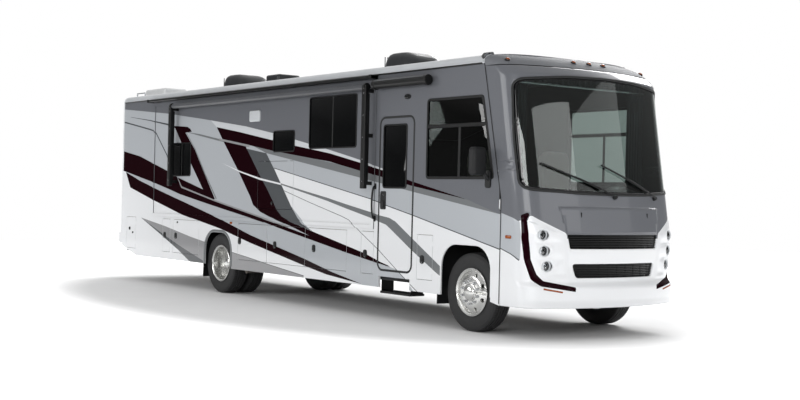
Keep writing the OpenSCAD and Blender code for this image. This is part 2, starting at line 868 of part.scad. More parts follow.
module awnings() {
    roller_y = -half_w - 105;
    roller_r = 70;
    case_x0 = room_x0 - 120;
    case_x1 = room_x1 + 50;
    color(black) {
        // Cover over the slide-out room
        block(case_x0, case_x1, -half_w - 118, -half_w - 12, room_top + 54, wall_top - 4);
        for (x = [case_x0 + 20, case_x1 - 60, (case_x0 + case_x1) / 2])
            block(x, x + 40, -half_w - 20, -half_w, room_top + 54, wall_top - 4);
        // Small awning over the entry door
        rod_x(roller_y, 3155, door_x0 - 30, door_x1 + 390, roller_r);
        for (x = [door_x0 - 10, door_x1 + 340])
            block(x, x + 30, -half_w - 100, -half_w, 3130, 3215);
    }
}

module patio_awning() {
    arm_w = 95;
    arm_t = 52;
    y1 = -half_w - 106;
    tube_z = 3135;
    tube_r = 42;
    front_arm = room_x1 - 60;
    rear_arm = rear_x - 1560;
    color(black) for (x = [front_arm, rear_arm]) {
        block(x - arm_w / 2, x + arm_w / 2, y1 - arm_t, y1, 1750, 3170);
        for (z = [1800, 2450, 3060]) block(x - 30, x + 30, y1, -half_w - 1, z, z + 50);
    }
    color(grey) rod_x(y1 - 6, tube_z, rear_arm + arm_w / 2, front_arm - arm_w / 2, tube_r);
}

// ---------- Slide-out room ----------

module room_outline(inset = 0) {
    translate([room_x0 + inset, room_z + inset])
        square([room_x1 - room_x0 - 2 * inset, room_top - room_z - 2 * inset]);
}

hatch = [room_x1 - 3115, room_x1 - 2070, 1420, 2150];

module hatch_outline(grow = 0) {
    rounded(hatch[0] - grow, hatch[1] + grow, hatch[2] - grow, hatch[3] + grow, 20 + grow);
}

module slide_room() {
    face = half_w + 1;
    color(silver) {
        difference() {
            right_plate(face - room_depth, face) room_outline();
            right_plate(face - room_depth - 1, face - wall_t) room_outline(wall_t);
            right_plate(face - wall_t - 1, face + 1) {
                for (w = room_windows) window_outline(w);
                hatch_outline(door_gap);
            }
        }
        // Trim flange that laps over the body side
        right_plate(face + 5, face + flange_t) difference() {
            room_outline(-flange_w);
            room_outline(10);
        }
        right_plate(face, face + flange_t) difference() {
            room_outline(0);
            room_outline(20);
        }
        // Shallow pan behind the outside hatch
        right_plate(face - wall_t - 110, face - wall_t) difference() {
            hatch_outline(door_gap + 16);
            hatch_outline(door_gap);
        }
        right_plate(face - wall_t - 126, face - wall_t - 110) hatch_outline(door_gap + 16);
    }
}

module slide_windows() {
    face = half_w + 1;
    color(glass) right_plate(face - 26, face - 4) for (w = room_windows) window_outline(w);
    color("#b8bbbd") right_plate(face, face + 24)
        rounded(room_x1 - 3400, room_x1 - 3080, 2780, 2956, 20);
}

module outside_hatch() {
    face = half_w + 1;
    color(silver) right_plate(face - 30, face) {
        hatch_outline();
        for (x = [hatch[0] + 150, hatch[1] - 150])
            translate([x - 30, hatch[3] - 20]) square([60, 20 + door_gap - pin_fit]);
    }
}

// ---------- Entry ----------

door_glass = [door_x0 + 80, door_x1 - 150, 1757, 2620];

module entry_door() {
    color(grey) difference() {
        right_plate(half_in, half_w) difference() {
            union() {
                entry_outline(-door_gap);
                hinge_tabs(door_x1 - door_gap, [door_z + 250, (door_z + door_top) / 2, door_top - 250]);
            }
            window_outline(door_glass);
        }
        // Latch pocket near the rear edge
        right_plate(half_w - 12, half_w + 1) rounded(door_x0 + 30, door_x0 + 140, 1560, 1690, 20);
    }
    color(black) right_plate(half_w - 12, half_w - 2) rounded(door_x0 + 48, door_x0 + 122, 1590, 1660, 14);
}

module entry_door_glass() {
    color(glass) right_plate(half_w - 30, half_w - 8) window_outline(door_glass);
}

module entry_step() {
    x0 = door_x0 + 52;
    x1 = door_x1 - 52;
    y1 = -half_w + 22;
    color(black) {
        block(x0, x1, y1, y1 + 340, 525, 555);
        block(x0, x1, y1, y1 + 240, 345, 375);
        for (x = [x0, x1 - 10]) block(x, x + 10, y1 + 20, y1 + 220, 345, 555);
        for (x = [x0 + 60, x1 - 100]) block(x, x + 40, y1 + 290, y1 + 560, 550, door_z - 10 - pin_fit);
    }
}

// ---------- Cab ----------

module dashboard() {
    x0 = seam_x + 20;
    color("#2b2c2f") {
        intersection() {
            translate([0, half_in - 30, 0]) rotate([90, 0, 0]) linear_extrude(2 * (half_in - 30))
                polygon([[x0, 1430], [x0 + 180, seam_z], [x0 + 250, seam_z], [x0 + 300, 1560], [nose_x, 1560],
                         [nose_x, 1740], [x0 + 120, 1780], [x0, 1700]]);
            linear_extrude(screen_z) bow_outline(nose_x - 90, cap_t + 20, front_x - 300);
        }
        bar([x0 + 40, 620, 1560], column_top, 38);
    }
}

module cab_seats() {
    color("#8d8377") for (y = [-620, 620]) {
        block(front_x - 420, front_x + 100, y - 270, y + 270, 1530, 1680);
        block(front_x - 560, front_x - 420, y - 260, y + 260, 1530, 2320);
        translate([front_x - 180, y, seam_z]) cylinder(h = 330, r = 150);
    }
}

module curtains() {
    // The rail hangs from the inside of the brow
    rail_x = front_x + 600;
    rail_top = crown_z - brow_r + sqrt(pow(brow_r - cap_t, 2) - pow(rail_x - brow_x, 2));
    color("#8b8d90") {
        block(front_x + 545, rail_x, -half_in + 60, -half_in + 360, 1850, 3060);
        block(front_x + 545, rail_x, half_in - 360, half_in - 60, 1850, 3060);
        block(front_x + 540, rail_x, -half_in + 40, half_in - 40, 3060, rail_top - pin_fit);
    }
}

column_top = [seam_x - 40, 620, 1650];
column_tilt = 48;

module steering_wheel() {
    rim = 215;
    color(black) translate(column_top) rotate([0, -column_tilt, 0]) translate([0, 0, pin_fit]) {
        rotate_extrude() translate([rim, 40]) circle(16);
        for (a = [0, 120, 240]) rotate([0, 0, a + 30]) translate([0, -14, 28]) cube([rim, 28, 14]);
        cylinder(h = 50, r = 55);
    }
}

// ---------- Wheels ----------

// Tyre about the Z axis, centred on its own middle plane
module tyre() {
    shoulder = 42;
    bead_w = tyre_w - 56;
    color(black) rotate_extrude($fn = 128) {
        translate([rim_r, -bead_w / 2]) square([60, bead_w]);
        rounded(rim_r + 40, tyre_r, -tyre_w / 2, tyre_w / 2, shoulder);
    }
}

// Rim about the Z axis, with its mounting disc at the given height
module rim(disc_z) {
    bead_w = tyre_w - 56;
    seat = rim_r - 15;
    side = disc_z > 0 ? 1 : -1;
    foot = side * min(abs(disc_z) - 45, bead_w / 2 - 20);
    difference() {
        rotate_extrude($fn = 128) {
            translate([seat, -bead_w / 2 - 12]) square([15, bead_w + 24]);
            for (s = [-1, 1]) translate([seat, s * (bead_w / 2 + 6) - 6]) square([28, 12]);
            // Dished disc from the barrel to the flat mounting ring
            polygon([[seat + 2, foot], [seat + 2, foot - side * 26], [178, disc_z - side * 22],
                     [70, disc_z - side * 22], [70, disc_z], [184, disc_z]]);
        }
        for (a = [0:45:315]) rotate([0, 0, a]) translate([(seat + 184) / 2 - 2, 0, -300]) cylinder(h = 600, r = 27);
    }
}

spindle_r = 35;
disc_offset = 138;

// Front wheel on the left: its outer side faces +Y
module front_wheel() {
    color("#c4c7c9") translate([front_x, front_y, tyre_r]) rotate([-90, 0, 0]) difference() {
        union() {
            rim(disc_offset);
            cylinder(h = disc_offset + 12, r = 112);
            translate([0, 0, disc_offset + 10]) cylinder(h = 34, r1 = 96, r2 = 70);
            translate([0, 0, -60]) cylinder(h = 150, r = 205);
        }
        translate([0, 0, -80]) cylinder(h = 210, r = spindle_r + pin_fit);
    }
}

module front_tyre() {
    translate([front_x, front_y, tyre_r]) rotate([-90, 0, 0]) tyre();
}

// Twin rear wheels on the left: their discs meet half way between the tyres
module rear_wheels() {
    stub_r = 45;
    half_gap = twin_gap / 2;
    color("#c4c7c9") difference() {
        union() {
            translate([rear_x, rear_out_y, tyre_r]) rotate([-90, 0, 0]) rim(-half_gap + 22);
            translate([rear_x, rear_in_y, tyre_r]) rotate([-90, 0, 0]) rim(half_gap);
            translate([rear_x, rear_in_y + half_gap - 2, tyre_r]) rotate([-90, 0, 0]) cylinder(h = 165, r = 112);
            translate([rear_x, rear_in_y - 75, tyre_r]) rotate([-90, 0, 0]) cylinder(h = half_gap + 77, r = 205);
        }
        rod_y(rear_x, tyre_r, rear_in_y - 100, rear_out_y - 25, stub_r + pin_fit);
    }
}

module rear_tyres() {
    for (y = [rear_out_y, rear_in_y]) translate([rear_x, y, tyre_r]) rotate([-90, 0, 0]) tyre();
}

// Ball stud of the steering arm, straight behind the kingpin
arm_x = 210;
arm_z = tyre_r - 180;
stud_r = 14;

// Steering knuckle on the left, with its kingpin, spindle and steering arm
module knuckle() {
    eye = 90;
    beam_z = tyre_r - 45;
    lap = 5;
    color(steel) {
        translate([front_x, kingpin_y, beam_z - eye / 2 - lap - 40]) cylinder(h = eye + 2 * lap + 80, r = kingpin_r);
        for (z = [beam_z - eye / 2 - lap - 40, beam_z + eye / 2 + lap])
            translate([front_x, kingpin_y, z]) {
                cylinder(h = 40, r = 46);
                translate([-40, 0, 0]) cube([80, 95, 40]);
            }
        block(front_x - 40, front_x + 40, kingpin_y + 55, kingpin_y + 95,
              beam_z - eye / 2 - lap - 40, beam_z + eye / 2 + lap + 40);
        rod_y(front_x, tyre_r, kingpin_y + 80, front_y + 120, spindle_r);
        // Arm to the tie rod, behind and below
        bar([front_x - 10, kingpin_y, beam_z - eye / 2 - lap - 25],
            [front_x - arm_x, kingpin_y, beam_z - eye / 2 - lap - 25], 18);
        translate([front_x - arm_x, kingpin_y, arm_z - 10]) cylinder(h = 66, r = stud_r);
    }
}

module tie_rod() {
    free_fit = 2;
    color(steel) difference() {
        union() {
            rod_y(front_x - arm_x, arm_z, -kingpin_y, kingpin_y, 20);
            for (s = [-1, 1]) translate([front_x - arm_x, s * kingpin_y, arm_z - 24]) cylinder(h = 48, r = 32);
        }
        for (s = [-1, 1]) translate([front_x - arm_x, s * kingpin_y, arm_z - 30])
            cylinder(h = 60, r = stud_r + (s > 0 ? pin_fit : free_fit));
    }
}

// ---------- Luggage doors ----------

// Doors whose front edge meets another door hang from a strip behind the gap
hinge_z = [bay_door_z + 110, bay_door_top - 110];

module bay_door_outline(d) {
    bay_opening(d);
    hinge_tabs(d[1], hinge_z);
}

module right_bay_door(i) {
    d = right_doors[i];
    color(silver) {
        if (d == rear_bay_door || d == mid_bay_door) {
            right_plate(skirt_in, half_w) bay_opening(d);
            right_plate(skirt_in - strip_gap + pin_fit, skirt_in)
                for (z = hinge_z) translate([d[1] - 20, z - 30]) square([20, 60]);
        } else {
            right_plate(skirt_in, half_w) bay_door_outline(d);
        }
    }
}

module left_bay_door(i) {
    color(silver) left_plate(skirt_in, half_w) bay_door_outline(left_doors[i]);
}

chassis_frame();
coach_floor();
side_walls();
rear_wall();
roof();
front_cap();
windshield();
side_windows();
skirts();
wheel_wells();
grille();
lamps();
wipers();
mirrors();
air_conditioners();
roof_vents();
awnings();
dashboard();
cab_seats();
curtains();
storage_bays();
axles();
engine_block();
drive_shaft();
under_tanks();
exhaust();
hitch_receiver();
ladder();
rear_bumper();
slide_room();
slide_windows();
patio_awning();
outside_hatch();
knuckle();  // knuckle_left
mirror([0, 1, 0]) knuckle();  // knuckle_right
tie_rod();
front_wheel();  // front_left_wheel
front_tyre();  // front_left_tyre
mirror([0, 1, 0]) front_wheel();  // front_right_wheel
mirror([0, 1, 0]) front_tyre();  // front_right_tyre
rear_wheels();  // rear_left_wheels
rear_tyres();  // rear_left_tyres
mirror([0, 1, 0]) rear_wheels();  // rear_right_wheels
mirror([0, 1, 0]) rear_tyres();  // rear_right_tyres
steering_wheel();
entry_door();
entry_door_glass();
front_lid();
entry_step();
right_bay_door(0);  // right_bay_door_1
right_bay_door(1);  // right_bay_door_2
right_bay_door(2);  // right_bay_door_3
right_bay_door(3);  // right_bay_door_4
right_bay_door(4);  // right_bay_door_5
right_bay_door(5);  // right_bay_door_6
right_bay_door(6);  // right_bay_door_7
right_bay_door(7);  // right_bay_door_8
left_bay_door(0);  // left_bay_door_1
left_bay_door(1);  // left_bay_door_2
left_bay_door(2);  // left_bay_door_3
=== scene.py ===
"""A Class A motorhome: paint, glass, wheels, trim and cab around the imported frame.

Metres, +X forward, +Y to the driver's side, +Z up, ground at z = 0.
"""

import math

import bmesh
import bpy
import numpy as np
from mathutils import Matrix, Vector
from mathutils.geometry import delaunay_2d_cdt


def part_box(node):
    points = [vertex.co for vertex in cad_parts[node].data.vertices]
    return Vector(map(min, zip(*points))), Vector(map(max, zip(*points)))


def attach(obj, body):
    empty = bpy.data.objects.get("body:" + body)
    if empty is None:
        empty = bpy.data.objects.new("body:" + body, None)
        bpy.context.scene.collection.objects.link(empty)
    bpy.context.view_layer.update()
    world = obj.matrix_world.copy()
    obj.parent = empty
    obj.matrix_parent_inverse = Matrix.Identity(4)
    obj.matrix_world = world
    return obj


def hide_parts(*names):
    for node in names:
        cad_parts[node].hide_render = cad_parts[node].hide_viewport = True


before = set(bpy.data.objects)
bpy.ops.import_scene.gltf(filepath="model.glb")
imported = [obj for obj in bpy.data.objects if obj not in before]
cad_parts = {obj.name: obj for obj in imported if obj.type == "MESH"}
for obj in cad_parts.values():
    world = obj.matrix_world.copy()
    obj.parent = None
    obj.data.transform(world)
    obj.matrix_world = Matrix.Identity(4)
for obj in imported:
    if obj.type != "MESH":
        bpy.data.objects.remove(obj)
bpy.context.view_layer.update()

# ---------- Places taken from the frame ----------

wall_low, wall_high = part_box("side_walls")
HALF = wall_high.y
WALL_TOP = wall_high.z
tyre_low, tyre_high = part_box("front_left_tyre")
FRONT_X = (tyre_low.x + tyre_high.x) / 2
TYRE_R = (tyre_high.x - tyre_low.x) / 2
TYRE_W = tyre_high.y - tyre_low.y
FRONT_Y = (tyre_low.y + tyre_high.y) / 2
rear_low, rear_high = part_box("rear_left_tyres")
REAR_X = (rear_low.x + rear_high.x) / 2
REAR_OUT = rear_high.y - TYRE_W / 2
REAR_IN = rear_low.y + TYRE_W / 2
RIM_R = 0.28575
BUMPER_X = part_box("front_cap")[1].x
NOSE_X = BUMPER_X - 0.06
SEAM_X = FRONT_X + 0.605
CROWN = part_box("roof")[1].z
FLOOR_Z = 1.2


def span(node, grow=0.0):
    """Lowest and highest corner of a CAD node as two arrays, grown all round."""
    low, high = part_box(node)
    return np.array(low) - grow, np.array(high) + grow


# ---------- Materials ----------


def linear(colour):
    """An sRGB hex colour as linear red, green, blue and full alpha."""
    c = np.array([int(colour[i:i + 2], 16) for i in (1, 3, 5)]) / 255
    c = np.where(c <= 0.04045, c / 12.92, ((c + 0.055) / 1.055) ** 2.4)
    return (*(float(v) for v in c), 1.0)


def add(tree, kind, sockets=None, **settings):
    """Adds one node. Settings are its own properties; each socket takes a value or an output to link from."""
    made = tree.nodes.new(kind)
    for name, value in settings.items():
        setattr(made, name, value)
    for name, value in (sockets or {}).items():
        if isinstance(value, bpy.types.NodeSocket):
            tree.links.new(value, made.inputs[name])
        else:
            made.inputs[name].default_value = value
    return made


def new_material(name):
    """An empty material with its output node, and its tree."""
    made = bpy.data.materials.new(name)
    made.use_nodes = True
    made.node_tree.nodes.clear()
    return made, made.node_tree


def surface(name, colour, second, size, rough, depth=0.0, stretch=(1, 1, 1), detail=3.0, pattern="noise", **shader):
    """One finish whose colour, roughness and height follow a pattern of the given size in metres.

    The colour runs between two hex values, roughness between two numbers, and depth is the bump's height in metres.
    A second, metre-sized noise moves the roughness a little, as handling and washing do.
    """
    made, tree = new_material(name)
    place = add(tree, "ShaderNodeTexCoord")
    turned = add(tree, "ShaderNodeMapping", {"Vector": place.outputs["Object"], "Scale": stretch})
    if pattern == "cells":
        fine = add(tree, "ShaderNodeTexVoronoi", {"Vector": turned.outputs["Vector"], "Scale": 1 / size})
        height = fine.outputs["Distance"]
    elif pattern == "weave":
        both = [
            add(tree, "ShaderNodeTexWave",
                {"Vector": turned.outputs["Vector"], "Scale": 0.31 / size, "Distortion": 0.6},
                wave_type="BANDS", bands_direction=axis, wave_profile="SIN")
            for axis in ("Y", "Z")
        ]
        height = add(tree, "ShaderNodeMath", {0: both[0].outputs["Fac"], 1: both[1].outputs["Fac"]},
                     operation="MULTIPLY").outputs["Value"]
    else:
        fine = add(tree, "ShaderNodeTexNoise",
                   {"Vector": turned.outputs["Vector"], "Scale": 1 / size, "Detail": detail})
        height = fine.outputs["Fac"]
    wide = add(tree, "ShaderNodeTexNoise", {"Vector": place.outputs["Object"], "Scale": 0.8, "Detail": 5.0})
    tone = add(tree, "ShaderNodeMix", {0: height, 6: linear(colour), 7: linear(second)}, data_type="RGBA")
    mixed = add(tree, "ShaderNodeMath", {0: height, 1: wide.outputs["Fac"]}, operation="MULTIPLY")
    gloss = add(tree, "ShaderNodeMapRange", {"Value": mixed.outputs["Value"], "From Min": 0.1, "From Max": 0.4,
                                             "To Min": rough[0], "To Max": rough[1]})
    sockets = {"Base Color": tone.outputs[2], "Roughness": gloss.outputs["Result"]}
    if depth:
        bump = add(tree, "ShaderNodeBump", {"Height": height, "Distance": depth, "Strength": 0.6})
        sockets["Normal"] = bump.outputs["Normal"]
    sockets.update(shader)
    lit = add(tree, "ShaderNodeBsdfPrincipled", sockets)
    add(tree, "ShaderNodeOutputMaterial", {"Surface": lit.outputs["BSDF"]})
    return made


def paint(name, colour, flake, coat=0.45, shine=0.12):
    """Two-stage coach paint: fine flake under a clear coat, for a soft colour and a sharp shine.

    Flake is drawn 3 mm across, much coarser than the real 0.05 mm, so that it still gives a faint sparkle.
    """
    return surface(name, colour, flake, 0.003, (0.36, 0.46), **{
        "Metallic": 0.1, "Specular IOR Level": shine, "Coat Weight": coat, "Coat Roughness": 0.06, "Coat IOR": 1.45})


# Sprayed polyester over fibreglass: clean colour bands under one clear coat
WHITE = paint("white_coach_paint", "#e6e7e9", "#dcdee0")
SILVER = paint("silver_coach_paint", "#b3b7bb", "#a6aaaf")
PALE = paint("pale_silver_coach_paint", "#cfd2d5", "#c3c6c9")
CHARCOAL = paint("charcoal_coach_paint", "#6b6d72", "#616368")
MID_GREY = paint("mid_grey_coach_paint", "#75787a", "#6b6e70")
DARK_GREY = paint("dark_grey_coach_paint", "#515457", "#494c4f")
MAROON = paint("maroon_coach_paint", "#1d040a", "#130206", 0.12, 0.0)
WEDGE = paint("warm_grey_coach_paint", "#949496", "#8a8a8c")
LINE = paint("pinstripe_coach_paint", "#4a4d50", "#434649")
# The brow's top coat is flatted, so it keeps its grey at a low angle
BROW = surface("flatted_grey_topcoat", "#76787c", "#6c6e72", 0.003, (0.55, 0.65), **{"Specular IOR Level": 0.1})
COACH_PAINTS = [WHITE, SILVER, PALE, CHARCOAL, MID_GREY, DARK_GREY, MAROON, WEDGE, LINE]
# Gel-coated roof skin: chalky gloss with faint ripples
ROOF_SKIN = surface("gelcoat_roof", "#c6c9cc", "#b9bcc0", 0.25, (0.3, 0.42), 0.0006, **{"Coat Weight": 0.3})
# Tinted acrylic windows: almost black, mirror smooth
TINTED = surface("dark_tinted_glass", "#060708", "#0a0b0c", 0.8, (0.03, 0.05), **{
    "Specular IOR Level": 0.35, "IOR": 1.5})
# Ceramic frit printed round the windscreen: black enamel behind glass
FRIT = surface("black_frit_glass", "#07080a", "#0b0c0e", 0.01, (0.05, 0.08), **{"IOR": 1.5})
# Moulded EPDM seal: dull black rubber with a faint skin
RUBBER = surface("rubber_seal", "#111213", "#191a1b", 0.004, (0.55, 0.7), 0.0002)
# Grained ABS: fine leather-like cells that break up the shine
BLACK_ABS = surface("grained_black_abs", "#0b0c0d", "#131416", 0.0035, (0.42, 0.56), 0.0002, pattern="cells",
                    **{"Specular IOR Level": 0.35})
# Powder-coated aluminium: even black with a fine orange-peel
BLACK_METAL = surface("powder_coated_black", "#060707", "#0c0d0e", 0.002, (0.35, 0.48), 0.00008, **{
    "Specular IOR Level": 0.3})
GREY_METAL = surface("powder_coated_grey", "#4a4c50", "#404246", 0.002, (0.32, 0.42), 0.00008)
# Gloss black injection-moulded grille
GLOSS_BLACK = surface("gloss_black_moulding", "#050606", "#090a0b", 0.02, (0.14, 0.24), **{"Specular IOR Level": 0.25})
# Smoked ABS shroud: dark blue-grey, half gloss
SHROUD = surface("weathered_black_shroud", "#26292d", "#1b1d20", 0.08, (0.3, 0.5), 0.0004)
VENT = surface("moulded_white_vent", "#e3e4e4", "#d6d7d8", 0.06, (0.4, 0.55), 0.0002)
# Chrome-plated trim and polished forged wheels: full metal, near-mirror
CHROME = surface("chrome_plate", "#d9dbdd", "#c9cbce", 0.05, (0.04, 0.1), **{"Metallic": 1.0})
POLISHED = surface("polished_aluminium", "#e2e2e0", "#d2d2d0", 0.006, (0.2, 0.32), 0.00003, stretch=(1, 0.2, 1), **{
    "Metallic": 1.0})
ANODISED = surface("anodised_aluminium", "#b6b9bc", "#a4a7aa", 0.002, (0.28, 0.4), stretch=(1, 1, 0.1),
                   **{"Metallic": 1.0})
# Clear polycarbonate lenses, amber and red acrylic
CLEAR_LENS = surface("clear_polycarbonate", "#f4f6f7", "#eef1f3", 0.02, (0.02, 0.04), **{
    "Transmission Weight": 1.0, "IOR": 1.58})
AMBER = surface("amber_acrylic", "#9a4c1c", "#7f3c12", 0.006, (0.1, 0.2), 0.0003, pattern="cells", **{"IOR": 1.49})
RED_LENS = surface("red_acrylic", "#7a0d12", "#5e070c", 0.006, (0.1, 0.2), 0.0003, pattern="cells", **{"IOR": 1.49})
# Laminated windscreen: a green-grey tint that darkens what is behind it
SCREEN_GLASS = surface("green_tinted_laminate", "#b9c6c2", "#b5c2be", 1.0, (0.0, 0.01), **{
    "Transmission Weight": 1.0, "IOR": 1.45, "Specular IOR Level": 0.35})
# Vulcanised rubber: charcoal black, dry and faintly mottled
TYRE = surface("vulcanised_rubber", "#1c1c1d", "#262627", 0.004, (0.62, 0.8), 0.0002)
# Chassis enamel, raw castings, aluminised pipe
CHASSIS = surface("black_chassis_enamel", "#141516", "#1e1f20", 0.03, (0.4, 0.6), 0.0003)
CASTING = surface("sand_cast_iron", "#33302e", "#48423d", 0.006, (0.6, 0.8), 0.0006, **{"Metallic": 0.6})
PIPE = surface("aluminised_pipe", "#6d6862", "#57514b", 0.05, (0.4, 0.6), 0.0003, **{"Metallic": 0.9})
BAY = surface("painted_sheet_steel", "#2a2b2d", "#343537", 0.02, (0.45, 0.6), 0.0002)
BOARD = surface("laminated_floor_board", "#7d6c58", "#65543f", 0.02, (0.35, 0.5), 0.0002, stretch=(0.06, 1, 1))
# Cab trim
DASH = surface("grained_dashboard", "#27282a", "#333436", 0.003, (0.5, 0.65), 0.0002, pattern="cells")
LEATHER = surface("stitched_taupe_leather", "#8a8177", "#776e64", 0.005, (0.4, 0.55), 0.0004, pattern="cells")
# Grey curtain cloth, its colour darkened to near black as painted shade for the dim cab behind the windscreen
CLOTH = surface("woven_curtain_cloth_painted_shade", "#26292c", "#1f2224", 0.004, (0.8, 0.95), 0.0004, pattern="weave", **{
    "Sheen Weight": 0.05})

# ---------- Meshes ----------


def grid(points, around=False, ends=False):
    """Four-sided faces over points[row, column]; around joins last column to first, ends closes both end rows."""
    rows, columns = points.shape[:2]
    ids = np.arange(rows * columns).reshape(rows, columns)
    shut = np.column_stack([ids, ids[:, :1]]) if around else ids
    quads = np.stack([shut[:-1, :-1], shut[:-1, 1:], shut[1:, 1:], shut[1:, :-1]], -1).reshape(-1, 4)
    faces = [quads]
    if ends:
        faces += [ids[:1, ::-1], ids[-1:]]
    return points.reshape(-1, 3), faces


def ring(radius, count=12, flat=1.0):
    """A round section, optionally squashed in its second direction."""
    turn = np.linspace(0, 2 * math.pi, count, endpoint=False)
    return np.column_stack([np.cos(turn), np.sin(turn) * flat]) * radius


def tube(path, section, up=(0, 0, 1), closed=False):
    """A section carried along a path: its first axis lies across the path, its second along up."""
    path = np.asarray(path, float)
    if closed:
        step = np.roll(path, -1, 0) - np.roll(path, 1, 0)
    else:
        step = np.gradient(path, axis=0)
    step /= np.linalg.norm(step, axis=1, keepdims=True)
    side = np.cross(step, np.broadcast_to(np.asarray(up, float), path.shape))
    side /= np.linalg.norm(side, axis=1, keepdims=True)
    top = np.cross(side, step)
    points = path[:, None] + section[None, :, :1] * side[:, None] + section[None, :, 1:] * top[:, None]
    if closed:
        points = np.concatenate([points, points[:1]])
    return grid(points, around=True, ends=not closed)


def lathe(profile, origin, axis=(0, 1, 0), count=72):
    """A profile of (radius, distance along the axis) turned about a line; one kept off the line closes on itself."""
    profile = np.asarray(profile, float)
    axis = np.asarray(axis, float) / np.linalg.norm(axis)
    first = np.cross(axis, (0, 0, 1) if abs(axis[2]) < 0.9 else (1, 0, 0))
    first /= np.linalg.norm(first)
    second = np.cross(axis, first)
    turn = np.linspace(0, 2 * math.pi, count, endpoint=False)
    out = np.cos(turn)[:, None] * first + np.sin(turn)[:, None] * second
    points = np.asarray(origin) + profile[:, None, :1] * out[None] + profile[:, None, 1:] * axis
    if min(profile[0, 0], profile[-1, 0]) > 0:
        return grid(np.concatenate([points, points[:1]]), around=True)
    return grid(points, around=True, ends=True)


def inset(outline, amount):
    """The outline moved inwards along the average of its two edges' normals."""
    edge = np.roll(outline, -1, 0) - outline
    normal = np.column_stack([-edge[:, 1], edge[:, 0]]) / np.maximum(np.linalg.norm(edge, axis=1, keepdims=True), 1e-9)
    area = np.sum(outline[:, 0] * np.roll(outline[:, 1], -1) - outline[:, 1] * np.roll(outline[:, 0], -1))
    mean = normal + np.roll(normal, 1, 0)
    mean /= np.maximum((mean * normal).sum(1, keepdims=True), 0.3)
    return outline + math.copysign(amount, area) * mean


def rounded(x0, x1, z0, z1, radius, count=6):
    """A rectangle with round corners, anticlockwise."""
    turn = np.linspace(0, math.pi / 2, count)
    corners = [(x1 - radius, z1 - radius, 0), (x0 + radius, z1 - radius, 1), (x0 + radius, z0 + radius, 2),
               (x1 - radius, z0 + radius, 3)]
    return np.concatenate([
        np.column_stack([cx + radius * np.cos(turn + quarter * math.pi / 2),
                         cz + radius * np.sin(turn + quarter * math.pi / 2)]) for cx, cz, quarter in corners])


def right(u, v, depth):
    """Puts (x, z, distance from the middle) on the passenger's side."""
    return np.stack(np.broadcast_arrays(u, -np.asarray(depth), v), -1)


def left(u, v, depth):
    """Puts (x, z, distance from the middle) on the driver's side."""
    return np.stack(np.broadcast_arrays(u, depth, v), -1)


def ahead(u, v, depth):
    """Puts (y, z, x) facing forward."""
    return np.stack(np.broadcast_arrays(depth, u, v), -1)


def above(u, v, depth):
    """Puts (x, y, z) facing up."""
    return np.stack(np.broadcast_arrays(u, v, depth), -1)


def slab(outline, place, low, high, edge=0.003, steps=3):
    """A plate from one depth to another, whose outer rim is a quarter round of the given radius."""
    outline = np.asarray(outline, float)
    turn = np.linspace(0, math.pi / 2, steps + 1)
    side = math.copysign(edge, high - low)
    rows = [(outline, low)] + [(inset(outline, edge * (1 - math.cos(t)) + 1e-7), high - side + side * math.sin(t))
                               for t in turn]
    points = np.stack([place(o[:, 0], o[:, 1], d) for o, d in rows])
    return grid(points, around=True, ends=True)


def bead(outline, place, depth, wide, proud):
    """A closed seal of flattened section along an outline."""
    path = place(outline[:, 0], outline[:, 1], depth)
    out = place(0.0, 0.0, depth + 1.0) - place(0.0, 0.0, depth)
    return tube(path, ring(wide / 2, 8, 2 * proud / wide), up=out, closed=True)


def piece(name, body, materials, parts, replaces=(), sharp=35.0, thick=0.0, tidy=True, flat=False,
          lining=0):
    """Joins parts (points, faces[, material number]) into one mesh that rides on a body."""
    points = np.concatenate([np.asarray(p[0]) for p in parts])
    loops, totals, looks, start = [], [], [], 0
    for part in parts:
        for faces in part[1]:
            faces = np.asarray(faces)
            loops.append((faces + start).ravel())
            totals.append(np.full(len(faces), faces.shape[1]))
            look = part[2] if len(part) > 2 else 0
            looks.append(np.broadcast_to(look, (len(faces),)))
        start += len(part[0])
    loops, totals, looks = np.concatenate(loops), np.concatenate(totals), np.concatenate(looks)
    mesh = bpy.data.meshes.new(name)
    mesh.vertices.add(len(points))
    mesh.vertices.foreach_set("co", points.astype(np.float32).ravel())
    mesh.loops.add(len(loops))
    mesh.loops.foreach_set("vertex_index", loops.astype(np.int32))
    mesh.polygons.add(len(totals))
    mesh.polygons.foreach_set("loop_start", (np.cumsum(totals) - totals).astype(np.int32))
    mesh.polygons.foreach_set("material_index", looks.astype(np.int32))
    for material in materials:
        mesh.materials.append(material)
    mesh.update(calc_edges=True)
    mesh.validate()
    if tidy:
        made = bmesh.new()
        made.from_mesh(mesh)
        bmesh.ops.remove_doubles(made, verts=made.verts, dist=2e-5)
        bmesh.ops.dissolve_degenerate(made, dist=1e-6, edges=made.edges)
        bmesh.ops.recalc_face_normals(made, faces=made.faces)
        made.to_mesh(mesh)
        made.free()
    mesh.polygons.foreach_set("use_smooth", np.full(len(mesh.polygons), not flat))
    if not flat:
        mesh.set_sharp_from_angle(angle=math.radians(sharp))
    obj = bpy.data.objects.new(name, mesh)
    bpy.context.scene.collection.objects.link(obj)
    if thick:
        wall = obj.modifiers.new("wall", "SOLIDIFY")
        wall.thickness, wall.offset, wall.material_offset = thick, -1.0, lining
    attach(obj, body)
    if replaces:
        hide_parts(*replaces)
    return obj


def clad(names, material):
    """Gives CAD nodes that keep their shape a better material."""
    for name in names:
        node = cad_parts[name]
        if not node.material_slots:
            node.data.materials.append(material)
        for slot in node.material_slots:
            slot.material = material


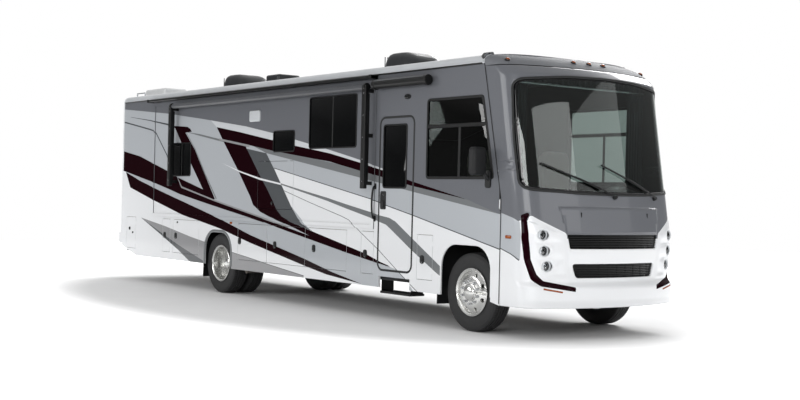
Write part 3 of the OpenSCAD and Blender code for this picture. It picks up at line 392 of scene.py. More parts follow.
def divide(outlines, bands, extra=None):
    """Cuts flat outlines by bands, in their plane.

    Outlines are faces of one area, bands are (polygon, look) with later ones on top, and a look of None leaves a hole.
    Returns the points, the three-sided faces inside the area and each one's look.
    """
    corners, faces = [], []
    for shape in [*outlines, *(band for band, _ in bands)]:
        shape = np.asarray(shape, float)
        around = np.roll(shape, -1, 0)
        turns_back = np.sum(shape[:, 0] * around[:, 1] - around[:, 0] * shape[:, 1]) < 0
        faces.append(list(range(len(corners), len(corners) + len(shape))))
        corners.extend(map(tuple, shape[::-1] if turns_back else shape))
    if extra is not None:
        corners.extend(map(tuple, extra))
    points, _, tris, _, _, origin = delaunay_2d_cdt([Vector(c) for c in corners], [], faces, 1, 1e-6)
    whole = len(outlines)
    looks = [0] + [look for _, look in bands]
    kept, given = [], []
    for tri, ids in zip(tris, origin):
        if not any(i < whole for i in ids):
            continue
        look = looks[max([i - whole + 1 for i in ids if i >= whole], default=0)]
        if look is not None:
            kept.append(tri)
            given.append(look)
    used, kept = np.unique(np.array(kept), return_inverse=True)
    return np.array([tuple(points[i]) for i in used]), kept.reshape(-1, 3), np.array(given)


# ---------- Camera, floor and light ----------

scene = bpy.context.scene
scene.view_settings.view_transform = "Standard"
camera = bpy.data.objects.new("camera", bpy.data.cameras.new("camera"))
camera.data.lens = 55.63
camera.data.sensor_width = 36.0
camera.data.clip_end = 400.0
scene.collection.objects.link(camera)
azimuth, tip, roll = math.radians(53.246), math.radians(0.094), math.radians(1.359)
look = Vector((-math.sin(azimuth) * math.cos(tip), math.cos(azimuth) * math.cos(tip), -math.sin(tip)))
level = Vector((math.cos(azimuth), math.sin(azimuth), 0))
rise = level.cross(look)
across = level * math.cos(roll) + rise * math.sin(roll)
upward = rise * math.cos(roll) - level * math.sin(roll)
# The viewpoint comes from a camera fitted to the reference picture by a scratch script; see report.md
EYE = (16.195, -11.086, 1.634)
camera.matrix_world = Matrix.Translation(EYE) @ Matrix((across, upward, -look)).transposed().to_4x4()
scene.camera = camera

world = bpy.data.worlds.new("studio")
scene.world = world
world.use_nodes = True
sky = world.node_tree
sky.nodes.clear()
toward = add(sky, "ShaderNodeTexCoord")
# A bright wall behind the coach and a bright ceiling; the walls it mirrors are dim
facing = add(sky, "ShaderNodeVectorMath", {0: toward.outputs["Generated"], 1: tuple(look)}, operation="DOT_PRODUCT")
behind = add(sky, "ShaderNodeMapRange", {"Value": facing.outputs["Value"], "From Min": 0.55, "From Max": 0.9})
height_of = add(sky, "ShaderNodeSeparateXYZ", {"Vector": toward.outputs["Generated"]})
ceiling = add(sky, "ShaderNodeMapRange", {"Value": height_of.outputs["Z"], "From Min": 0.1, "From Max": 0.9,
                                          "To Min": 0.07, "To Max": 0.85})
either = add(sky, "ShaderNodeMath", {0: behind.outputs["Result"], 1: ceiling.outputs["Result"]}, operation="MAXIMUM")
glow = add(sky, "ShaderNodeBackground", {"Color": (1, 1, 1, 1), "Strength": either.outputs["Value"]})
add(sky, "ShaderNodeOutputWorld", {"Surface": glow.outputs["Background"]})

floor_points = np.array([[-22.0, -9.0, 0.0], [14, -9, 0], [14, 26, 0], [-22, 26, 0]])
floor_mesh = bpy.data.meshes.new("floor")
floor_mesh.from_pydata(floor_points.tolist(), [], [(0, 1, 2, 3)])
floor = bpy.data.objects.new("floor", floor_mesh)
# Matt white studio vinyl with a painted glow away from the coach, so that it runs into the bright wall; near the coach
# it has no glow and shows the cast shadow
GLOWING_VINYL, tree = new_material("matt_white_vinyl_with_painted_glow")
spot = add(tree, "ShaderNodeTexCoord")
shrunk = add(tree, "ShaderNodeVectorMath", {0: spot.outputs["Object"], 1: (0.58, 1.0, 1.0)}, operation="MULTIPLY")
away = add(tree, "ShaderNodeVectorMath", {0: shrunk.outputs["Vector"]}, operation="LENGTH")
# Painted light: the floor glows more the farther it lies from the coach
painted_glow_edge = add(tree, "ShaderNodeMapRange", {"Value": away.outputs["Value"], "From Min": 3.4, "From Max": 4.8},
               interpolation_type="SMOOTHSTEP")
mottle = add(tree, "ShaderNodeTexNoise", {"Vector": spot.outputs["Object"], "Scale": 2.0, "Detail": 4.0})
tone = add(tree, "ShaderNodeMix", {0: mottle.outputs["Fac"], 6: linear("#f2f2f2"), 7: linear("#ececec")},
           data_type="RGBA")
vinyl = add(tree, "ShaderNodeBsdfPrincipled", {
    "Base Color": tone.outputs[2], "Roughness": 0.9, "Specular IOR Level": 0.2, "Emission Color": (1, 1, 1, 1),
    "Emission Strength": painted_glow_edge.outputs["Result"]})
add(tree, "ShaderNodeOutputMaterial", {"Surface": vinyl.outputs["BSDF"]})
floor_mesh.materials.append(GLOWING_VINYL)
scene.collection.objects.link(floor)


def softbox(name, place, target, wide, high, power):
    """A large rectangular lamp aimed at a point."""
    lamp = bpy.data.lights.new(name, "AREA")
    lamp.shape, lamp.size, lamp.size_y, lamp.energy = "RECTANGLE", wide, high, power
    holder = bpy.data.objects.new(name, lamp)
    aim = Vector(target) - Vector(place)
    holder.matrix_world = Matrix.Translation(place) @ aim.to_track_quat("-Z", "Y").to_matrix().to_4x4()
    scene.collection.objects.link(holder)


softbox("key", (15.0, -15.0, 5.5), (1.0, 0.0, 1.2), 9.0, 4.0, 920.0)
softbox("side", (-5.0, -17.0, 5.0), (-2.0, 0.0, 1.5), 10.0, 4.0, 800.0)
softbox("front", (19.0, 2.0, 6.0), (4.5, 0.0, 1.5), 6.0, 4.0, 210.0)
softbox("back", (-4.0, 13.0, 11.0), (0.0, -1.0, 0.0), 12.0, 5.0, 2300.0)
softbox("screen", (20.0, 12.0, 7.0), (5.0, 0.0, 2.4), 12.0, 5.0, 170.0)

# ---------- Coach sides: painted bands ----------


def stripe(line, thickness):
    """A thin band along a line, as wide as given at its start and its end."""
    line = np.asarray(line, float)
    step = np.gradient(line, axis=0)
    normal = np.column_stack([-step[:, 1], step[:, 0]]) / np.linalg.norm(step, axis=1, keepdims=True)
    half = np.linspace(*thickness, len(line))[:, None] / 2
    return np.concatenate([line + normal * half, (line - normal * half)[::-1]])


# Looks are numbers into COACH_PAINTS: 0 white, 1 silver, 2 pale silver, 3 charcoal, 4 mid grey, 5 dark grey,
# 6 maroon, 7 warm grey, 8 pinstripe. Each band is a polygon of (x, z).
# Most points below were traced on the reference picture and turned into metres by a scratch script; see report.md
BANDS = [
    # Silver over the upper side, down to the pinstripe in front and the lower maroon band behind
    ([(-6, 3.6), (6, 3.6), (6, 0.86), (5.45, 0.965), (4.0, 1.275), (3.36, 1.41), (2.42, 1.61), (-0.18, 2.05),
      (0.3, 1.5), (0.9, 1.12), (2.6, 0.76), (3.04, 0.68), (3.22, 0.58), (3.5, 0.42), (3.5, 0.3), (2.24, 0.3),
      (2.24, 0.43), (1.35, 0.51), (0.76, 0.6), (-0.86, 0.87), (-1.85, 1.06), (-3.31, 1.27), (-4.52, 1.52),
      (-5.37, 1.71), (-5.56, 2.0), (-6, 2.08)], 1),
    # Pale flash under the charcoal roof band
    ([(-2.3, 2.88), (-0.6, 2.66), (1.33, 2.32), (3.0, 1.95), (2.2, 2.08), (1.37, 2.24), (0.41, 2.37), (-0.6, 2.52),
      (-2.04, 2.73)], 2),
    # White field below the front pinstripe
    ([(-0.18, 2.05), (2.42, 1.61), (3.36, 1.41), (4.0, 1.275), (5.45, 0.965), (6, 0.86), (6, 0.3), (3.55, 0.3),
      (3.2, 0.6), (3.04, 0.69), (2.6, 0.77), (0.95, 1.12), (0.34, 1.475)], 0),
    # Charcoal roof band and fore end
    ([(-6, 3.21), (-3.9, 3.035), (-2.65, 2.9), (-1.1, 2.72), (-0.2, 2.58), (0.8, 2.4), (1.33, 2.305), (2.1, 2.155),
      (2.67, 2.025), (3.1, 1.93), (3.1, 1.8), (3.34, 1.72), (5.06, 1.47), (5.62, 1.385), (6, 1.33), (6, 3.6),
      (-6, 3.6)], 3),
    # Mid grey under the long maroon stripe
    ([(-0.42, 2.28), (-0.9, 2.42), (1.4, 2.12), (2.68, 1.93), (4.42, 1.645), (5.06, 1.47), (3.34, 1.72), (2.12, 1.905)],
     4),
    # Thin grey stripe from the rear window
    ([(-3.2, 2.695), (-2.63, 2.635), (-1.93, 2.535), (-1.0, 2.42), (-1.0, 2.385), (-1.93, 2.5), (-2.63, 2.605)], 4),
    # Tall rear shape round the window
    ([(-3.68, 2.81), (-3.1, 2.775), (-3.0, 2.74), (-2.93, 2.685), (-3.17, 2.675), (-2.8, 2.37), (-2.42, 1.945),
      (-2.05, 1.545), (-2.48, 1.7), (-2.9, 2.1), (-3.33, 2.52), (-3.56, 2.76)], 6),
    ([(-3.42, 1.9), (-2.95, 1.8), (-2.48, 1.7), (-2.05, 1.545), (-2.15, 1.52), (-3.26, 1.74)], 6),
    (stripe([(-3.13, 2.67), (-2.78, 2.37), (-2.4, 1.945), (-2.0, 1.545)], (0.012, 0.03)), 4),
    # Upper maroon band, narrowing to a line that runs forward
    ([(-6, 2.42), (-5.74, 2.4), (-4.98, 2.29), (-3.85, 2.02), (-3.45, 1.91), (-3.28, 1.72), (-2.05, 1.505),
      (-0.57, 1.275), (0.27, 1.145), (1.83, 0.895), (2.58, 0.78), (2.9, 0.715), (2.58, 0.745), (1.83, 0.85),
      (0.27, 1.09), (-0.41, 1.2), (-1.87, 1.4), (-2.58, 1.5), (-3.33, 1.61), (-3.84, 1.71), (-4.54, 1.835),
      (-5.72, 2.03), (-6, 2.07)], 6),
    ([(-3.44, 1.91), (-3.26, 1.745), (-2.05, 1.53), (-0.57, 1.3), (0.27, 1.165), (0.27, 1.145), (-0.57, 1.275),
      (-2.05, 1.505), (-3.28, 1.72)], 7),
    # Large forward-leaning maroon shape and its tail
    ([(-2.04, 2.73), (-1.79, 2.48), (-1.3, 2.02), (-0.89, 1.6), (-0.79, 1.47), (-0.56, 1.365), (-0.3, 1.3),
      (0.33, 1.175), (1.08, 1.0), (1.58, 0.91), (2.18, 0.82), (2.9, 0.7), (2.3, 0.86), (0.95, 1.115), (0.35, 1.235),
      (0.08, 1.31), (-0.09, 1.42), (-0.19, 1.54), (-0.41, 1.76), (-0.6, 1.93), (-1.03, 2.36), (-1.15, 2.47)], 6),
    # Dark grey band in front of it
    ([(-1.03, 2.36), (-0.6, 1.93), (-0.41, 1.76), (-0.19, 1.54), (-0.09, 1.42), (0.08, 1.31), (0.35, 1.235),
      (0.95, 1.12), (0.71, 1.2), (0.54, 1.295), (0.34, 1.475), (0.03, 1.815), (-0.18, 2.04), (-0.42, 2.28)], 5),
    # Long maroon stripe, tapering away in front of the door
    ([(-2.04, 2.735), (-1.26, 2.63), (-0.6, 2.53), (0.41, 2.38), (1.37, 2.25), (2.13, 2.11), (2.67, 2.0), (3.3, 1.86),
      (4.45, 1.635), (3.3, 1.8), (2.67, 1.91), (2.12, 2.0), (1.37, 2.13), (-0.2, 2.31), (-0.93, 2.41),
      (-1.77, 2.5)], 6),
    (stripe([(-1.95, 2.53), (-1.26, 2.44), (-0.95, 2.4)], (0.034, 0.036)), 7),
    # White line that crosses the maroon shape, then the grey swoosh
    ([(-1.84, 2.14), (-1.23, 2.005), (-0.6, 1.895), (0.03, 1.815), (0.68, 1.7), (0.68, 1.685), (0.03, 1.79),
      (-0.6, 1.865), (-1.23, 1.985)], 0),
    ([(0.03, 1.815), (0.68, 1.71), (1.31, 1.615), (1.8, 1.53), (2.45, 1.425), (2.59, 1.395), (2.84, 1.365),
      (2.98, 1.32), (3.32, 1.13), (3.9, 0.81), (4.1, 0.7), (4.1, 0.6), (3.88, 0.69), (3.33, 0.965), (2.94, 1.18),
      (2.77, 1.27), (2.59, 1.31), (2.45, 1.345), (1.8, 1.47), (1.31, 1.57), (0.68, 1.68), (0.03, 1.795)], 4),
    # Pinstripes
    (stripe([(-0.18, 2.048), (2.42, 1.608), (2.78, 1.527), (3.36, 1.412), (4.0, 1.277), (5.09, 1.047), (5.45, 0.967),
             (6, 0.86)], (0.012, 0.014)), 8),
    (stripe([(0.13, 1.704), (0.89, 1.53), (1.71, 1.355), (1.88, 1.31), (2.19, 1.14), (2.6, 0.93), (3.2, 0.58),
             (3.51, 0.41)], (0.008, 0.01)), 8),
    (stripe([(-5.42, 3.028), (-4.59, 2.937), (-3.9, 2.845), (-3.6, 2.8)], (0.006, 0.04)), 8),
    (stripe([(-6, 2.99), (-4.59, 2.775), (-4.4, 2.74), (-4.3, 2.68), (-3.87, 2.3), (-3.7, 2.1)], (0.024, 0.03)), 8),
    # Lower maroon band
    ([(-5.58, 2.0), (-4.96, 1.84), (-4.11, 1.66), (-2.57, 1.36), (-1.86, 1.22), (-0.87, 0.995), (0.77, 0.7),
      (1.46, 0.56), (2.24, 0.435), (1.35, 0.51), (0.76, 0.6), (-0.86, 0.87), (-1.85, 1.06), (-3.31, 1.27),
      (-4.52, 1.52), (-5.37, 1.71)], 6),
    # Grey wedges behind and in front of the rear wheel
    ([(-4.88, 1.162), (-3.88, 1.037), (-2.91, 0.889), (-2.2, 0.8), (-2.2, 0.4), (-2.45, 0.505), (-3.3, 0.71),
      (-3.85, 0.85)], 7),
    ([(-4.88, 1.16), (-3.82, 0.855), (-3.3, 0.715), (-2.45, 0.51), (-2.3, 0.47), (-2.3, 0.4), (-2.75, 0.4),
      (-3.35, 0.64), (-3.95, 0.85)], 5),
    ([(-1.6, 0.71), (-0.85, 0.63), (-0.41, 0.576), (0.74, 0.452), (0.74, 0.3), (-1.6, 0.3)], 7),
    (stripe([(-1.6, 0.71), (-0.85, 0.63), (-0.41, 0.576), (0.74, 0.452)], (0.008, 0.01)), 8),
]


def painted(node, body, faces_at, proud=0.0006):
    """Paint on a panel's outer face: the CAD face's own triangles, cut along the bands and set just proud of it.

    faces_at are the distances from the middle at which the panel has a painted face.
    """
    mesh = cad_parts[node].data
    points = np.zeros(len(mesh.vertices) * 3)
    mesh.vertices.foreach_get("co", points)
    points = points.reshape(-1, 3)
    corners = np.array([p.vertices[:] for p in mesh.polygons if len(p.vertices) == 3])
    parts = []
    for side, place in ((-1, right), (1, left)):
        for depth in faces_at:
            tris = points[corners]
            flat = np.all(np.abs(tris[:, :, 1] * side - depth) < 4e-4, axis=1)
            if not flat.any():
                continue
            flat_tris = np.unique(np.round(tris[flat][:, :, [0, 2]], 5), axis=0)
            edges = flat_tris[:, 1:] - flat_tris[:, :1]
            area = np.abs(edges[:, 0, 0] * edges[:, 1, 1] - edges[:, 0, 1] * edges[:, 1, 0])
            where, tri, looks = divide(list(flat_tris[area > 1e-9]), BANDS)
            parts.append((place(where[:, 0], where[:, 1], depth + proud),
                          [tri if side > 0 else tri[:, ::-1]], looks))
    # Faces look outwards: a triangle that runs anticlockwise in (x, z) faces -Y, so the driver's side is turned
    parts = [(p, [f[0][:, ::-1]], l) for p, f, l in parts]
    return piece(node + "_paint", body, COACH_PAINTS, parts, thick=0.0005, tidy=False,
                 flat=True)


painted("side_walls", "coach", (HALF,))
painted("skirts", "coach", (HALF,))
painted("entry_door", "door", (HALF,))
SLIDE_Y = HALF + 0.001
painted("slide_room", "slide_out", (SLIDE_Y, SLIDE_Y + 0.014))
painted("outside_hatch", "hatch", (SLIDE_Y,))
for bay in range(1, 9):
    painted(f"right_bay_door_{bay}", f"right_bay_{bay}", (HALF,))
for bay in range(1, 4):
    painted(f"left_bay_door_{bay}", f"left_bay_{bay}", (HALF,))
clad(["rear_wall", "skirts", "outside_hatch", "rear_bumper"], WHITE)
clad(["side_walls"], BLACK_ABS)
clad(["slide_room"], MID_GREY)
clad(["entry_door"], CHARCOAL)
clad([f"right_bay_door_{i}" for i in range(1, 9)] + [f"left_bay_door_{i}" for i in range(1, 4)], WHITE)
clad(["roof"], ROOF_SKIN)

# ---------- Front shell ----------

BOW_R, CORNER_R = 2.94, 0.28
CORNER_Y = HALF - CORNER_R
BOW_TO_CORNER = math.sqrt((BOW_R - CORNER_R) ** 2 - CORNER_Y ** 2)
BOW_TURN = math.atan2(CORNER_Y, BOW_TO_CORNER)
LONG_BOW, LONG_CORNER, LONG_SIDE = 1.0, 0.36, 0.26
EDGE = LONG_BOW + LONG_CORNER + LONG_SIDE
CAP_LOW, CAP_TOP = 0.378, CROWN - 0.03
BROW_X, BROW_Z, BROW_R = FRONT_X + 0.3, CROWN - 1.014, 1.014
LEAN = math.tan(math.radians(9.7))


def ease(value):
    """A smooth step from 0 to 1."""
    t = np.clip(value, 0, 1)
    return t * t * (3 - 2 * t)


def seam_at(z):
    """Where the front shell meets the side wall: upright, then leaning back."""
    return SEAM_X - np.maximum(0, z - 1.638) * 0.217


def cap(s, z, out=0.0):
    """The front shell. s runs round it from the passenger's seam to the driver's, z is the height.

    At each height the plan is a bowed arc, two corner arcs and two straight sides. The arc's reach leans back above
    the nose, rolls back over the brow and stands forward at the bumper; the sides round over into the roof.
    """
    s, z = np.broadcast_arrays(np.asarray(s, float), np.asarray(z, float))
    reach = NOSE_X - 0.012 * ease((1.1 - z) / 0.3) - np.maximum(0, z - 1.25) * LEAN
    brow = BROW_X + np.sqrt(np.maximum(BROW_R ** 2 - np.maximum(z - BROW_Z, 0) ** 2, 0))
    reach = np.where(z > 2.6, np.minimum(reach, brow), reach)
    reach = reach + (BUMPER_X - NOSE_X + 0.008) * ease((0.7 - z) / 0.085) - 0.03 * ease((0.49 - z) / 0.11)
    half = HALF - 0.12 + np.sqrt(np.maximum(0.12 ** 2 - np.maximum(z - WALL_TOP, 0) ** 2, 0))
    corner_y = half - CORNER_R
    to_corner = np.sqrt((BOW_R - CORNER_R) ** 2 - corner_y ** 2)
    centre_x = reach - BOW_R + to_corner
    turn = np.arctan2(corner_y, to_corner)
    a = np.abs(s)
    bow = np.clip(a / LONG_BOW, 0, 1) * turn
    bend = turn + np.clip((a - LONG_BOW) / LONG_CORNER, 0, 1) * (math.pi / 2 - turn)
    back = np.clip((a - LONG_BOW - LONG_CORNER) / LONG_SIDE, 0, 1)
    on_bow = a <= LONG_BOW
    x = np.where(on_bow, reach - BOW_R + (BOW_R + out) * np.cos(bow), centre_x + (CORNER_R + out) * np.cos(bend))
    y = np.where(on_bow, (BOW_R + out) * np.sin(bow), corner_y + (CORNER_R + out) * np.sin(bend))
    x = np.where(back > 0, centre_x + (seam_at(z) - centre_x) * back, x)
    return np.stack([x, np.copysign(y, s), z], -1)


def across_y(y):
    """The s of a point on the bow or in a corner, from its distance to the middle."""
    y = np.asarray(y, float)
    a = np.abs(y)
    bow = np.arcsin(np.clip(a / BOW_R, 0, 1)) / BOW_TURN * LONG_BOW
    bend = (np.arcsin(np.clip((a - CORNER_Y) / CORNER_R, 0, 1)) - BOW_TURN) / (math.pi / 2 - BOW_TURN)
    return np.copysign(np.where(a <= BOW_R * math.sin(BOW_TURN), bow, LONG_BOW + LONG_CORNER * bend), y)


def across_x(x, z, side):
    """The s of a point on the straight side, from its place along the coach."""
    centre_x = NOSE_X - np.maximum(0, z - 1.25) * LEAN - BOW_R + BOW_TO_CORNER
    back = np.clip((centre_x - x) / (centre_x - seam_at(z)), 0, 1)
    return side * (LONG_BOW + LONG_CORNER + LONG_SIDE * back)


def on_front(outline):
    """An outline in (y, z) as (s, z)."""
    outline = np.asarray(outline, float)
    return np.column_stack([across_y(outline[:, 0]), outline[:, 1]])


def smooth_corners(corners, radius, count=6):
    """A polygon with each corner replaced by an arc-like curve of the given reach."""
    corners = np.asarray(corners, float)
    before, after = np.roll(corners, 1, 0) - corners, np.roll(corners, -1, 0) - corners
    long_before = np.linalg.norm(before, axis=1, keepdims=True)
    long_after = np.linalg.norm(after, axis=1, keepdims=True)
    first = corners + before / long_before * np.minimum(radius, long_before * 0.45)
    last = corners + after / long_after * np.minimum(radius, long_after * 0.45)
    t = np.linspace(0, 1, count)[None, :, None]
    curve = (1 - t) ** 2 * first[:, None] + 2 * t * (1 - t) * corners[:, None] + t ** 2 * last[:, None]
    return curve.reshape(-1, 2)


def fill_in(outline, step):
    """More points along each edge of an outline, so that it can follow a curved face."""
    outline = np.asarray(outline, float)
    edges = np.roll(outline, -1, 0) - outline
    counts = np.maximum(1, np.ceil(np.linalg.norm(edges, axis=1) / step).astype(int))
    return np.concatenate([o + e * np.linspace(0, 1, n, endpoint=False)[:, None]
                           for o, e, n in zip(outline, edges, counts)])


def mirrored(outline):
    """The same outline on the other side of the middle."""
    return np.asarray(outline)[::-1] * (-1, 1)


SCREEN = smooth_corners([(-1.257, 1.775), (-0.6, 1.738), (0, 1.73), (0.6, 1.738), (1.257, 1.775), (1.262, 2.4),
                         (1.24, 3.085), (0.6, 3.142), (0, 3.155), (-0.6, 3.142), (-1.24, 3.085), (-1.262, 2.4)], 0.11)
LID = smooth_corners([(-0.79, 1.262), (0.79, 1.262), (0.856, 1.58), (0.4, 1.583), (0, 1.584), (-0.4, 1.583),
                      (-0.856, 1.58)], 0.02)
UPPER_GRILLE = smooth_corners([(-0.745, 1.078), (0.745, 1.078), (0.785, 1.25), (-0.785, 1.25)], 0.02)
LOWER_GRILLE = smooth_corners([(-0.655, 0.733), (0.655, 0.733), (0.71, 0.902), (-0.71, 0.902)], 0.045)
CHEEK = smooth_corners([(0.795, 1.262), (1.2, 1.47), (1.222, 1.4), (1.2, 0.95), (1.14, 0.77), (1.05, 0.7),
                        (0.72, 0.66), (0.72, 0.73)], 0.03)
TRIM = smooth_corners([(1.2, 1.475), (1.215, 1.5), (1.262, 1.47), (1.268, 1.2), (1.25, 0.95), (1.195, 0.72),
                       (1.12, 0.64), (0.7, 0.575), (0.7, 0.63), (1.06, 0.7), (1.14, 0.78), (1.2, 0.95),
                       (1.222, 1.2), (1.226, 1.42)], 0.012, 4)
LAMPS = [(1.082, 1.242), (1.064, 1.053), (1.026, 0.873)]
cap_bands = [
    (np.column_stack([[-EDGE, EDGE, EDGE, -EDGE], [2.0, 2.0, 4.0, 4.0]]), 3),
]
for side in (-1, 1):
    def edge_s(x, z, side=side):
        return (across_x(x, z, side), z)

    low_front = [(side * s, z) for s, z in ((1.2, 1.42), (1.0, 1.36), (0.8, 1.255), (0.775, 1.2), (0.0, 1.2))]
    cap_bands += [
        # Silver between the charcoal and the pinstripe
        (np.array([edge_s(5.0, 1.49), edge_s(5.3, 1.435), (side * 1.26, 1.39), (side * 1.26, 0.935),
                   edge_s(5.3, 0.998), edge_s(5.0, 1.065)]), 1),
        (np.array([edge_s(5.0, 1.488), edge_s(5.3, 1.433), (side * 1.28, 1.395), *low_front, (0.0, 2.1),
                   edge_s(5.0, 2.1)]), 3),
        (stripe([edge_s(5.0, 1.065), edge_s(5.3, 0.998), (side * 1.27, 0.935)], (0.012, 0.014)), 8),
    ]
    shape = CHEEK if side > 0 else mirrored(CHEEK)
    cap_bands.append((fill_in(on_front(shape), 0.03), 0))
    shape = TRIM if side > 0 else mirrored(TRIM)
    cap_bands.append((fill_in(on_front(shape), 0.03), 6))
cap_bands.append(([(-EDGE, 3.27), (EDGE, 3.27), (EDGE, 3.5), (-EDGE, 3.5)], len(COACH_PAINTS)))
hole = [(fill_in(on_front(o), 0.03), None) for o in (SCREEN, inset(LID, -0.005), UPPER_GRILLE, LOWER_GRILLE)]
for side in (-1, 1):
    for y, z in LAMPS:
        hole.append((on_front(ring(0.066, 28) + (side * y, z)), None))
columns = np.linspace(-EDGE, EDGE, 109)
brow_rows = BROW_Z + BROW_R * np.cos(np.radians(np.linspace(44, 14.0, 26)))
levels = np.concatenate([np.arange(CAP_LOW, 1.62, 0.0155), np.arange(1.64, 3.15, 0.032),
                         brow_rows[brow_rows < CAP_TOP - 0.002], [CAP_TOP]])
inner = np.stack(np.meshgrid(columns, levels), -1)
extra = inner.reshape(-1, 2)
where, tri, looks = divide([[(-EDGE, CAP_LOW), (EDGE, CAP_LOW), (EDGE, CAP_TOP), (-EDGE, CAP_TOP)]],
                           cap_bands + hole, extra)


def inside_by(outline, points):
    """How far inside an outline each point lies, in metres: the distance to its nearest edge, or 0 outside."""
    start, end = outline, np.roll(outline, -1, 0)
    edge, gap = end - start, points[:, None] - start[None]
    t = np.clip((gap * edge).sum(-1) / np.maximum((edge ** 2).sum(-1), 1e-12), 0, 1)
    near = np.linalg.norm(gap - t[..., None] * edge, axis=-1).min(1)
    crosses = (start[None, :, 1] > points[:, None, 1]) != (end[None, :, 1] > points[:, None, 1])
    edge_rise = np.where(edge[:, 1] == 0, 1e-9, edge[:, 1])
    reach_x = start[:, 0] + (points[:, None, 1] - start[:, 1]) * edge[:, 0] / edge_rise
    return np.where((crosses & (points[:, None, 0] < reach_x)).sum(1) % 2 == 1, near, 0)


def relief(points):
    """How far the front shell's skin stands out or in: raised lamp cheeks with a hollow under each lamp, sunk trim."""
    out = np.zeros(len(points))
    for side in (-1, 1):
        cheek = on_front(CHEEK if side > 0 else mirrored(CHEEK))
        trim = on_front(TRIM if side > 0 else mirrored(TRIM))
        out += 0.010 * ease(inside_by(cheek, points) / 0.05)
        out -= 0.009 * ease(inside_by(trim, points) / 0.012)
        for y, z in LAMPS:
            away = np.hypot((points[:, 0] - across_y(side * y)) / 1.15, points[:, 1] - z)
            out += 0.012 * ease((0.115 - away) / 0.05) * (away > 0)
            below = np.hypot((points[:, 0] - across_y(side * (y - 0.11))) / 2.2, points[:, 1] - z + 0.095)
            out -= 0.010 * ease((0.07 - below) / 0.07)
    return out


skin = cap(where[:, 0], where[:, 1], relief(where))
# The brow's flat top: from the last row back to the roof
ring_s = columns
top_ring = cap(ring_s, np.full_like(ring_s, CAP_TOP))
back_line = np.stack([np.full_like(ring_s, seam_at(WALL_TOP)), np.linspace(-1, 1, len(ring_s)) * (HALF - 0.12),
                      np.full_like(ring_s, CAP_TOP)], -1)
back_line[:, 1] = top_ring[:, 1]
blend_rows = np.linspace(0, 1, 8)[:, None, None]
top_skin = top_ring[None] * (1 - blend_rows) + back_line[None] * blend_rows
fall = np.clip((top_skin[..., 0] - BROW_X) / (top_ring[len(ring_s) // 2, 0] - BROW_X), 0, 1)
top_skin[..., 2] = CAP_TOP + 0.03 * (1 - (top_skin[..., 1] / (HALF - 0.12)) ** 2) * (1 - fall ** 2)
top_points, top_faces = grid(top_skin)
piece("front_shell", "coach", [*COACH_PAINTS, BROW, DASH],
      [(skin, [tri], looks), (top_points, [top_faces[0][:, ::-1]], len(COACH_PAINTS))],
      replaces=["front_cap"], thick=0.028, sharp=50, lining=len(COACH_PAINTS) + 1)


def patch(outline, out, step=0.05, bands=(), look=0):
    """A piece of the front shell inside an outline of (y, z), moved out along its face."""
    area = fill_in(on_front(outline), 0.03)
    low, high = area.min(0), area.max(0)
    s = np.arange(low[0] + step / 2, high[0], step)
    z = np.arange(low[1] + step / 2, high[1], step)
    points = np.stack(np.meshgrid(s, z), -1).reshape(-1, 2)
    points = points[inside_by(area, points) > step * 0.2]
    where, tri, looks = divide([area], [(area, look), *((fill_in(on_front(b), 0.03), l) for b, l in bands)], points)
    return cap(where[:, 0], where[:, 1], out), [tri], looks


piece("hood_lid", "lid", [CHARCOAL, BLACK_ABS], [patch(LID, 0.0)], replaces=["front_lid"], thick=0.022,
      sharp=50)
marks = []
for side in (-1, 1):
    spot = cap(across_y(side * 0.571), 1.48)
    marks.append(slab(rounded(side * 0.571 - 0.008, side * 0.571 + 0.008, 1.45, 1.512, 0.005), ahead,
                      spot[0] - 0.008, spot[0] + 0.004, 0.002))
piece("lid_latches", "lid", [BLACK_ABS], marks)
piece("windscreen", "coach", [FRIT, SCREEN_GLASS],
      [patch(inset(SCREEN, -0.008), -0.006, 0.05, [(inset(SCREEN, 0.035), 1)])], replaces=["windshield"], thick=0.006,
      sharp=50)


def along_front(outline, out):
    """A path over the front shell, with the face's direction at each point."""
    area = fill_in(on_front(outline), 0.03)
    path = cap(area[:, 0], area[:, 1], out)
    normal = cap(area[:, 0], area[:, 1], out + 0.1) - path
    lean_up = np.where(area[:, 1] > 1.25, LEAN, 0.0) * np.linalg.norm(normal, axis=1)
    normal[:, 2] = lean_up
    return path, normal / np.linalg.norm(normal, axis=1, keepdims=True)


path, out = along_front(SCREEN, 0.001)
piece("windscreen_seal", "coach", [RUBBER], [tube(path, ring(0.015, 8, 0.55), out, closed=True)])

# Grille: a dark backing and thin level bars behind the two openings
bars = []
for outline in (UPPER_GRILLE, LOWER_GRILLE):
    bars.append(patch(inset(outline, -0.02), -0.032))
    low, high = outline[:, 1].min(), outline[:, 1].max()
    for z in np.arange(low + 0.012, high, 0.021):
        reach_y = np.interp(z, [low, high], [0.66, 0.71] if low < 1 else [0.75, 0.79])
        s = across_y(np.linspace(-reach_y, reach_y, 40))
        bars.append(tube(cap(s, np.full(40, z), -0.02), ring(0.0045, 6, 1.3)))
    for y in np.linspace(-0.6, 0.6, 9):
        s = across_y(np.full(6, y))
        bars.append(tube(cap(s, np.linspace(low, high, 6), -0.026), ring(0.004, 6), up=(1, 0, 0)))
piece("grille_bars", "coach", [GLOSS_BLACK], bars, replaces=["grille"])


